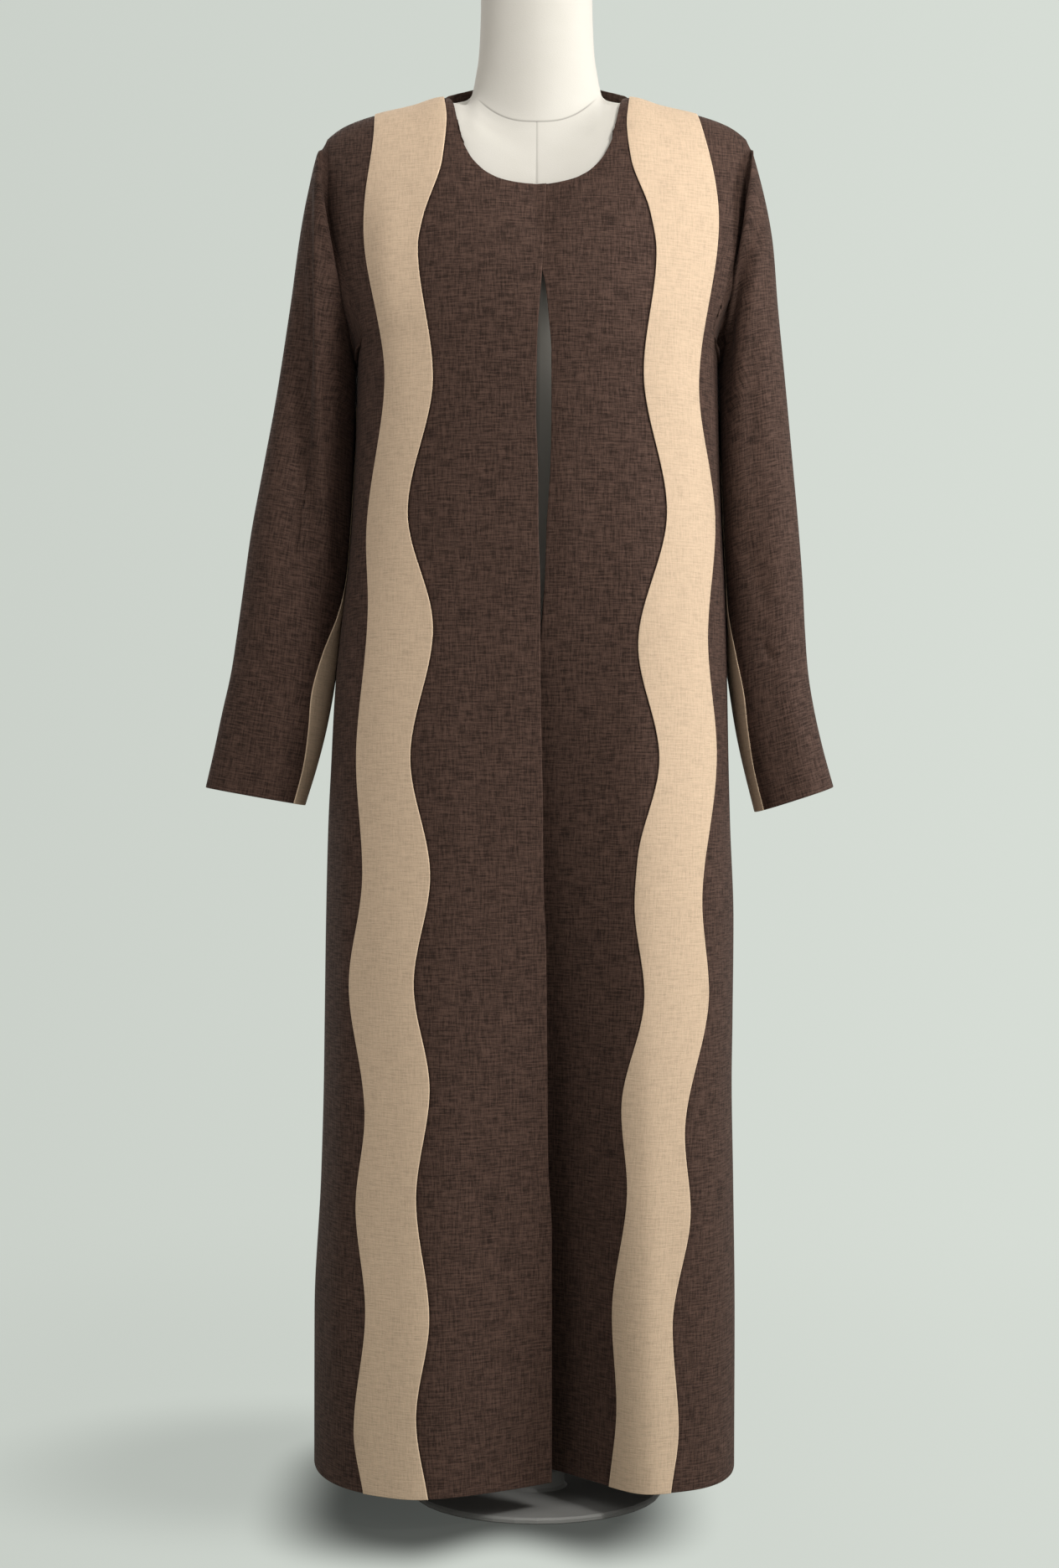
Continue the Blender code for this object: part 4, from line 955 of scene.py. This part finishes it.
# %% Form tables
# A row for each ring from the neck down: front y and height, side x and height, back y and height, and
# squareness. A side height of 0 follows the shoulder ridge of the cloak.
FORM = (
    (-44, 1590, 55, 1590, 54, 1590, 2.0), (-47.5, 1586, 58, 1586, 57, 1586, 2.0),
    (-48, 1540, 58.5, 1545, 58, 1550, 2.0), (-50, 1480, 60, 1510, 60, 1522, 2.0),
    (-53, 1445, 62.5, 1488, 63, 1508, 2.0), (-58, 1420, 69, 1462, 66, 1496, 2.0),
    (-69, 1398, 84, 0, 71, 1478, 2.0), (-81, 1373, 108, 0, 79, 1448, 2.05),
    (-93, 1346, 136, 0, 88, 1412, 2.1), (-103, 1319, 164, 0, 95, 1376, 2.15),
    (-111, 1292, 184, 1427, 100, 1342, 2.2), (-118, 1265, 192, 1404, 103, 1308, 2.25),
    (-123, 1238, 186, 1362, 104, 1276, 2.3), (-127, 1210, 168, 1304, 103, 1244, 2.35),
    (-128, 1184, 153, 1244, 100, 1206, 2.4), (-122, 1148, 144, 1184, 94, 1154, 2.4),
    (-108, 1092, 127, 1104, 82, 1094, 2.35), (-102, 1045, 118, 1045, 76, 1045, 2.3),
    (-107, 990, 132, 990, 87, 990, 2.3), (-114, 930, 152, 930, 102, 930, 2.3),
    (-116, 870, 163, 870, 110, 870, 2.3), (-113, 810, 160, 810, 106, 810, 2.3),
    (-108, 764, 153, 764, 100, 764, 2.3), (-102, 751, 146, 751, 94, 751, 2.3),
    (-92, 748, 136, 748, 85, 748, 2.3),
)
BUST_OUT, BUST_SPREAD, BUST_RISE = 0.56, 0.36, 13.0
BUST_HEIGHT, BUST_TALL = 1196.0, 62.0
NECK_SEAM_RING = 5
NECK_ROUNDING = {4: 2.4, 5: 2.6, 6: 2.2}  # how late these rings rise to the side: the seam is a round U
SHOULDER_LINE = 5.0  # y of the shoulder ridge


# %% Room under the cloak
def cloak_above(x, y):
    """Height of the cloak's outer surface over a place on the shoulders."""
    out, ahead = np.abs(x), y < SHOULDER_LINE
    ridge = np.where(ahead, through(FRONT_RIDGE, 1, out), through(BACK_RIDGE, 1, out))
    level = np.where(ahead, BUST_LINE, BLADE_LINE)
    depth, square = np.where(ahead, 155.0, 107.0), np.where(ahead, 2.3, 2.4)
    reach = depth * (1 - np.clip(out / 235, 0, 0.999) ** square) ** (1 / square)
    fall = np.clip(np.abs(y - SHOULDER_LINE) / reach, 0, 1)
    return ridge - (1 - (1 - fall ** (1 / FALL_START)) ** (1 / FALL_END)) * (ridge - level)


def under_cloak(x, y, height):
    """Heights of places on the form, lowered where they would come too near the cloth over them."""
    out, away, behind = np.abs(x), np.abs(y - SHOULDER_LINE), y > SHOULDER_LINE
    fall_on = cloak_above(x, y + 1) - cloak_above(x, y - 1)
    fall_out = cloak_above(x + 1, y) - cloak_above(x - 1, y)
    lean = np.hypot(fall_on, fall_out) / 2
    room = (CLOTH_WALL + REST_GAP) * np.where(behind, 1.0, np.sqrt(1 + np.minimum(lean, 2.5) ** 2))
    room = room + np.where(behind, np.minimum(away * 0.16, 8.0), 0.4 + 1.8 * ease((height - 1360) / 30))
    room = room + 1.3 * np.exp(-(((out - 116) / 14) ** 2))
    room = room + np.clip((out - 118) * 0.2, 0, 7) * np.clip(away / 40, 0, 1)
    neck = through([(row[1], row[2]) for row in FRONT_NECKLINE], 1, out)
    covered = np.maximum(behind * 1.0, np.maximum(ease((out - 60) / 18), ease((neck + 26 - height) / 20)))
    under = cloak_above(x, y) - room
    reached = (away < 100) & (height > 1290)
    return np.where(reached, height - covered * np.maximum(height - under, 0), height)


# %% Rings of the form
def form_rings(turns):
    """The form's rings from the table, with the bust raised, at these angles round them."""
    rings = []
    for k, (front, front_high, side, side_high, back_deep, back_high, square) in enumerate(FORM):
        s, c = np.sin(turns), np.cos(turns)
        x = side * np.sign(s) * np.abs(s) ** (2 / square)
        y = -np.where(c > 0, -front, back_deep) * np.sign(c) * np.abs(c) ** (2 / square)
        if side_high == 0:
            side_high = float(through(FRONT_RIDGE, 1, side)) - CLOTH_WALL - REST_GAP
        side_share = np.abs(s) ** NECK_ROUNDING.get(k, 1.7)
        height = mix(np.where(c > 0, front_high, back_high), side_high, side_share)
        away = np.minimum(np.abs(turns - BUST_OUT), np.abs(2 * np.pi - turns - BUST_OUT))
        y = y - BUST_RISE * np.exp(-((away / BUST_SPREAD) ** 2) - ((height - BUST_HEIGHT) / BUST_TALL) ** 2)
        rings.append(np.column_stack([x, y, height]))
    return np.array(rings)


def seam_lines(places, seam, steps):
    """The places with extra ones beside a seam."""
    kept = [p for p in places if abs(p - seam) > 1.3 * max(steps)]
    return np.unique(np.round(kept + [seam] + [seam + sign * s for s in steps for sign in (-1, 1)], 5))


turns = seam_lines(np.linspace(-np.pi, np.pi, 121)[:-1], 0.0, (0.012, 0.028, 0.05))
levels = seam_lines(np.linspace(0, len(FORM) - 1, 145), NECK_SEAM_RING, (0.03, 0.07, 0.13))
form_grid = flow(form_rings(turns), levels)
lowered = under_cloak(form_grid[..., 0], form_grid[..., 1], form_grid[..., 2])
form_grid[..., 2] = mix(form_grid[..., 2], lowered, ease(levels - 4.4)[:, None])
print("form grid:", len(levels), "levels of", len(turns), "points")

# %% Seams of the form
GROOVE_DEPTH, GROOVE_REACH = 0.4, 0.7
NO_SEAM = 99.0  # a distance at which no groove is left
outward = normals_of(form_grid, 1, closed=True)
neck_run = run_from(form_grid, 0)
from_neck_seam = np.abs(neck_run - neck_run[np.searchsorted(levels, NECK_SEAM_RING)])
from_centre = np.where(form_grid[..., 1] < 0, np.abs(form_grid[..., 0]), NO_SEAM)
from_centre[levels < NECK_SEAM_RING] = NO_SEAM
ahead = ease((np.cos(turns) - 0.38) / 0.34) + 0.5 * ease((-np.cos(turns) - 0.3) / 0.3)
form_seam = ahead * np.exp(-((from_neck_seam / GROOVE_REACH) ** 2))
form_seam = form_seam + 0.6 * np.exp(-((from_centre / GROOVE_REACH) ** 2))
form_seam = np.minimum(form_seam, 1)
form_grid = form_grid - outward * (GROOVE_DEPTH * form_seam)[..., None]
print("seams at ring", NECK_SEAM_RING, "and down the centre front")

# %% Covered form
count = form_grid.shape[1]
form_faces = []
for i in range(len(levels) - 1):
    here, below = i * count, (i + 1) * count
    for j in range(count):
        after = (j + 1) % count
        form_faces.append((here + j, below + j, below + after, here + after))
form_faces += [tuple(range(count)), tuple(range((len(levels) - 1) * count, len(levels) * count))[::-1]]
form_mesh = bpy.data.meshes.new("covered_form")
form_mesh.from_pydata((form_grid.reshape(-1, 3) * MM).tolist(), [], form_faces)
form_mesh.polygons.foreach_set("use_smooth", [len(f) == 4 for f in form_faces])
mark_points(form_mesh, "seam", form_seam.reshape(-1))
covered_form = in_scene("covered_form", form_mesh)
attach(covered_form, "root")
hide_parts("dress_form")
print("form:", len(form_faces), "faces")

# %% [markdown]
# The cover is a plain, close cotton. Its weave is much finer than the linen's, so it is a small bump and
# a faint mottling. The seam attribute darkens the grooves, where dust and shade gather. The stand's pole
# and base are turned and plain, so they keep their shapes from the frame and only get a satin paint.

# %% Cotton cover
COVER_TONES = (0.60, 0.59, 0.54, 1), (0.66, 0.65, 0.61, 1)
COVER_SEAM = (0.26, 0.25, 0.23, 1)
form_cover, tree, shader = new_material("cotton_cover")
where = add(tree, "ShaderNodeTexCoord").outputs["Object"]
mottle = speckle(tree, where, 22.0, 4.0)
cotton = speckle(tree, where, 1100.0, 1.0)
cover_colour = blended(tree, mottle, *COVER_TONES)
grooved = sums(tree, "MULTIPLY", marked(tree, "seam"), 0.9)
seamed = blended(tree, grooved, cover_colour, COVER_SEAM)
fill(tree, shader, {"Base Color": seamed, "Normal": bumped(tree, cotton, 0.35, 0.0003),
                    "Roughness": 0.85, "Sheen Weight": 0.10})
covered_form.data.materials.append(form_cover)
print("cover:", form_cover.name)

# %% Satin paint
# the paint's mid grey is matched to the painted shade on the floor, so the base under the hem reads as shade
PAINT_TONES = (0.21, 0.215, 0.21, 1), (0.25, 0.255, 0.25, 1)
stand_paint, tree, shader = new_material("satin_paint")
where = add(tree, "ShaderNodeTexCoord").outputs["Object"]
peel = speckle(tree, where, 420.0, 2.0)
wear = speckle(tree, where, 30.0, 5.0)
paint_colour = blended(tree, wear, *PAINT_TONES)
paint_rough = ranged(tree, wear, 0.0, 1.0, 0.55, 0.72)
fill(tree, shader, {"Base Color": paint_colour, "Roughness": paint_rough,
                    "Normal": bumped(tree, peel, 0.12, 0.0003)})
for node in ("pole", "base"):
    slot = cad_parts[node].material_slots[0]
    slot.link = "OBJECT"
    slot.material = stand_paint
print("stand keeps its turned base and pole, with satin paint")

# %% [markdown]
# ## Floor and light
# The floor is a pale disc in the tone of the backdrop, and it fades into it, so that no horizon shows
# from any side. What is seen of it is nearly all glow, which lamps cannot shade. The shade under the hem
# is therefore painted on the floor: a soft oval with a lighter notch near the middle, and a faint
# wider one at the wearer's right. It is fixed to the floor, so it stays in place from every side. A floor
# of plain paper would take real shadows, but its edge would show against the backdrop.

# %% Backdrop tone
BACKDROP = (0.655, 0.700, 0.648)


def backdrop_tone(tree, across):
    """The backdrop's colour, with painted shade: a little darker towards one side, as the wall behind a
    one-sided light is.
    """
    share = ranged(tree, across, -0.2, 0.2, 0.91, 1.035)
    return add(tree, "ShaderNodeVectorMath", {0: BACKDROP, 3: share}, operation="SCALE").outputs["Vector"]


# %% Floor
FLOOR_RADIUS, FLOOR_CORNERS = 2.6, 96
floor_turns = np.linspace(0, 2 * np.pi, FLOOR_CORNERS + 1)[:-1]
floor_rim = [(FLOOR_RADIUS * np.cos(t), FLOOR_RADIUS * np.sin(t), 0) for t in floor_turns]
floor_mesh = bpy.data.meshes.new("floor")
floor_mesh.from_pydata(floor_rim, [], [tuple(range(FLOOR_CORNERS))])
floor = in_scene("floor", floor_mesh)
print("floor:", FLOOR_RADIUS, "m to its rim")


# %% Shade on the floor
def oval(tree, place, middle, size, power):
    """How far a place lies from the middle of a rounded oval, with 1 at its rim."""
    parts = []
    for value, centre, half in zip(place, middle, size):
        away = sums(tree, "DIVIDE", sums(tree, "SUBTRACT", value, centre), half)
        parts.append(sums(tree, "POWER", sums(tree, "ABSOLUTE", away), power))
    return sums(tree, "POWER", sums(tree, "ADD", *parts), 1 / power)


def soft_step(tree, value, start, end, at_start, at_end):
    return ranged(tree, value, start, end, at_start, at_end, interpolation_type="SMOOTHSTEP")


floor_paper, tree = empty_material("floor_paper")
where = add(tree, "ShaderNodeTexCoord").outputs["Object"]
reach = add(tree, "ShaderNodeVectorMath", {0: where}, operation="LENGTH").outputs["Value"]
fade = soft_step(tree, reach, 0.55, 1.9, 0.0, 1.0)
across, ahead = (add(tree, "ShaderNodeSeparateXYZ", {0: where}).outputs[axis] for axis in "XY")
from_notch = sums(tree, "ABSOLUTE", sums(tree, "ADD", across, 0.030))
notch = soft_step(tree, from_notch, 0.0, 0.100, 0.26, 0.0)
under_hem = sums(tree, "ADD", oval(tree, (across, ahead), (-0.055, -0.01), (0.190, 0.235), 3.4), notch)
beside = oval(tree, (across, ahead), (-0.30, 0.10), (0.34, 0.33), 2.0)
hem_shade = soft_step(tree, under_hem, 0.735, 1.305, 0.12, 1.0)
side_shade = soft_step(tree, beside, 0.35, 1.1, 0.80, 1.0)
open_floor = sums(tree, "MULTIPLY", hem_shade, side_shade)

# %% Floor paper
PAPER = (0.26, 0.28, 0.26, 1)  # what the floor throws back on the cloak
TONE_REACH = 2.9  # the tone changes across the floor as it does over a backdrop this many metres away
SEEN_GLOW = 0.94  # the share of glow in what is seen of the floor
floor_tone = backdrop_tone(tree, sums(tree, "DIVIDE", across, TONE_REACH))
glow = add(tree, "ShaderNodeEmission", {"Color": floor_tone, "Strength": open_floor}).outputs[0]
paper = add(tree, "ShaderNodeBsdfDiffuse", {"Color": PAPER}).outputs[0]
seen = add(tree, "ShaderNodeLightPath").outputs["Is Camera Ray"]
share = sums(tree, "MULTIPLY", seen, SEEN_GLOW)
lit = add(tree, "ShaderNodeMixShader", {0: share, 1: paper, 2: glow}).outputs[0]
clear = add(tree, "ShaderNodeBsdfTransparent").outputs[0]
blend = add(tree, "ShaderNodeMixShader", {0: fade, 1: lit, 2: clear}).outputs[0]
add(tree, "ShaderNodeOutputMaterial", {"Surface": blend})
floor.data.materials.append(floor_paper)
print("floor paper:", floor_paper.name)

# %% [markdown]
# A studio lights cloth with large, soft lamps. Here an even light comes from all round. The key lamp
# stands high in front, at the wearer's left, and gives the fall of light from the chest to the hem. The
# side lamp, level with the shoulders, brightens the left sleeve. A weak fill from the other side lifts
# the darkest folds of the right sleeve, and a wide lamp behind lights the back. A bare sun would draw
# hard edges.

# %% Even light
LIGHT_TONE, LIGHT_STRENGTH = (0.70, 0.665, 0.62, 1), 0.70
world = bpy.data.worlds.new("studio")
bpy.context.scene.world = world
world.use_nodes = True
tree = world.node_tree
tree.nodes.clear()
seen = add(tree, "ShaderNodeLightPath").outputs["Is Camera Ray"]
strength = ranged(tree, seen, 0.0, 1.0, LIGHT_STRENGTH, 1.0)
direction = add(tree, "ShaderNodeTexCoord").outputs["Generated"]
toward = add(tree, "ShaderNodeSeparateXYZ", {0: direction}).outputs["X"]
studio = blended(tree, seen, LIGHT_TONE, backdrop_tone(tree, toward))
backdrop = add(tree, "ShaderNodeBackground", {"Color": studio, "Strength": strength}).outputs[0]
add(tree, "ShaderNodeOutputWorld", {"Surface": backdrop})
print("world:", world.name)

# %% Lamps
# Each lamp: where it stands, what it looks at, how wide it is in metres, its watts and its colour
LAMPS = {
    "key": ((1.75, -2.05, 3.1), (0, 0, 1.85), 0.9, 72, (1.0, 0.97, 0.93)),
    "side": ((2.9, -0.5, 1.4), (0, 0, 1.25), 1.0, 48, (1.0, 0.98, 0.95)),
    "fill": ((-1.2, -2.4, 3.0), (0, 0, 1.75), 1.2, 12, (1.0, 0.98, 0.96)),
    "back": ((-0.6, 2.8, 2.6), (0, 0, 0.9), 2.4, 30, (1.0, 0.99, 0.97)),
}
for name, (place, aim, size, power, colour) in LAMPS.items():
    data = bpy.data.lights.new(name, "AREA")
    data.shape, data.size, data.energy, data.color = "DISK", size, power, colour
    lamp = in_scene(name, data)
    lamp.location = place
    lamp.rotation_euler = (Vector(aim) - Vector(place)).to_track_quat("-Z", "Y").to_euler()
bpy.context.scene.view_settings.view_transform = "Standard"
print("lamps:", *LAMPS)
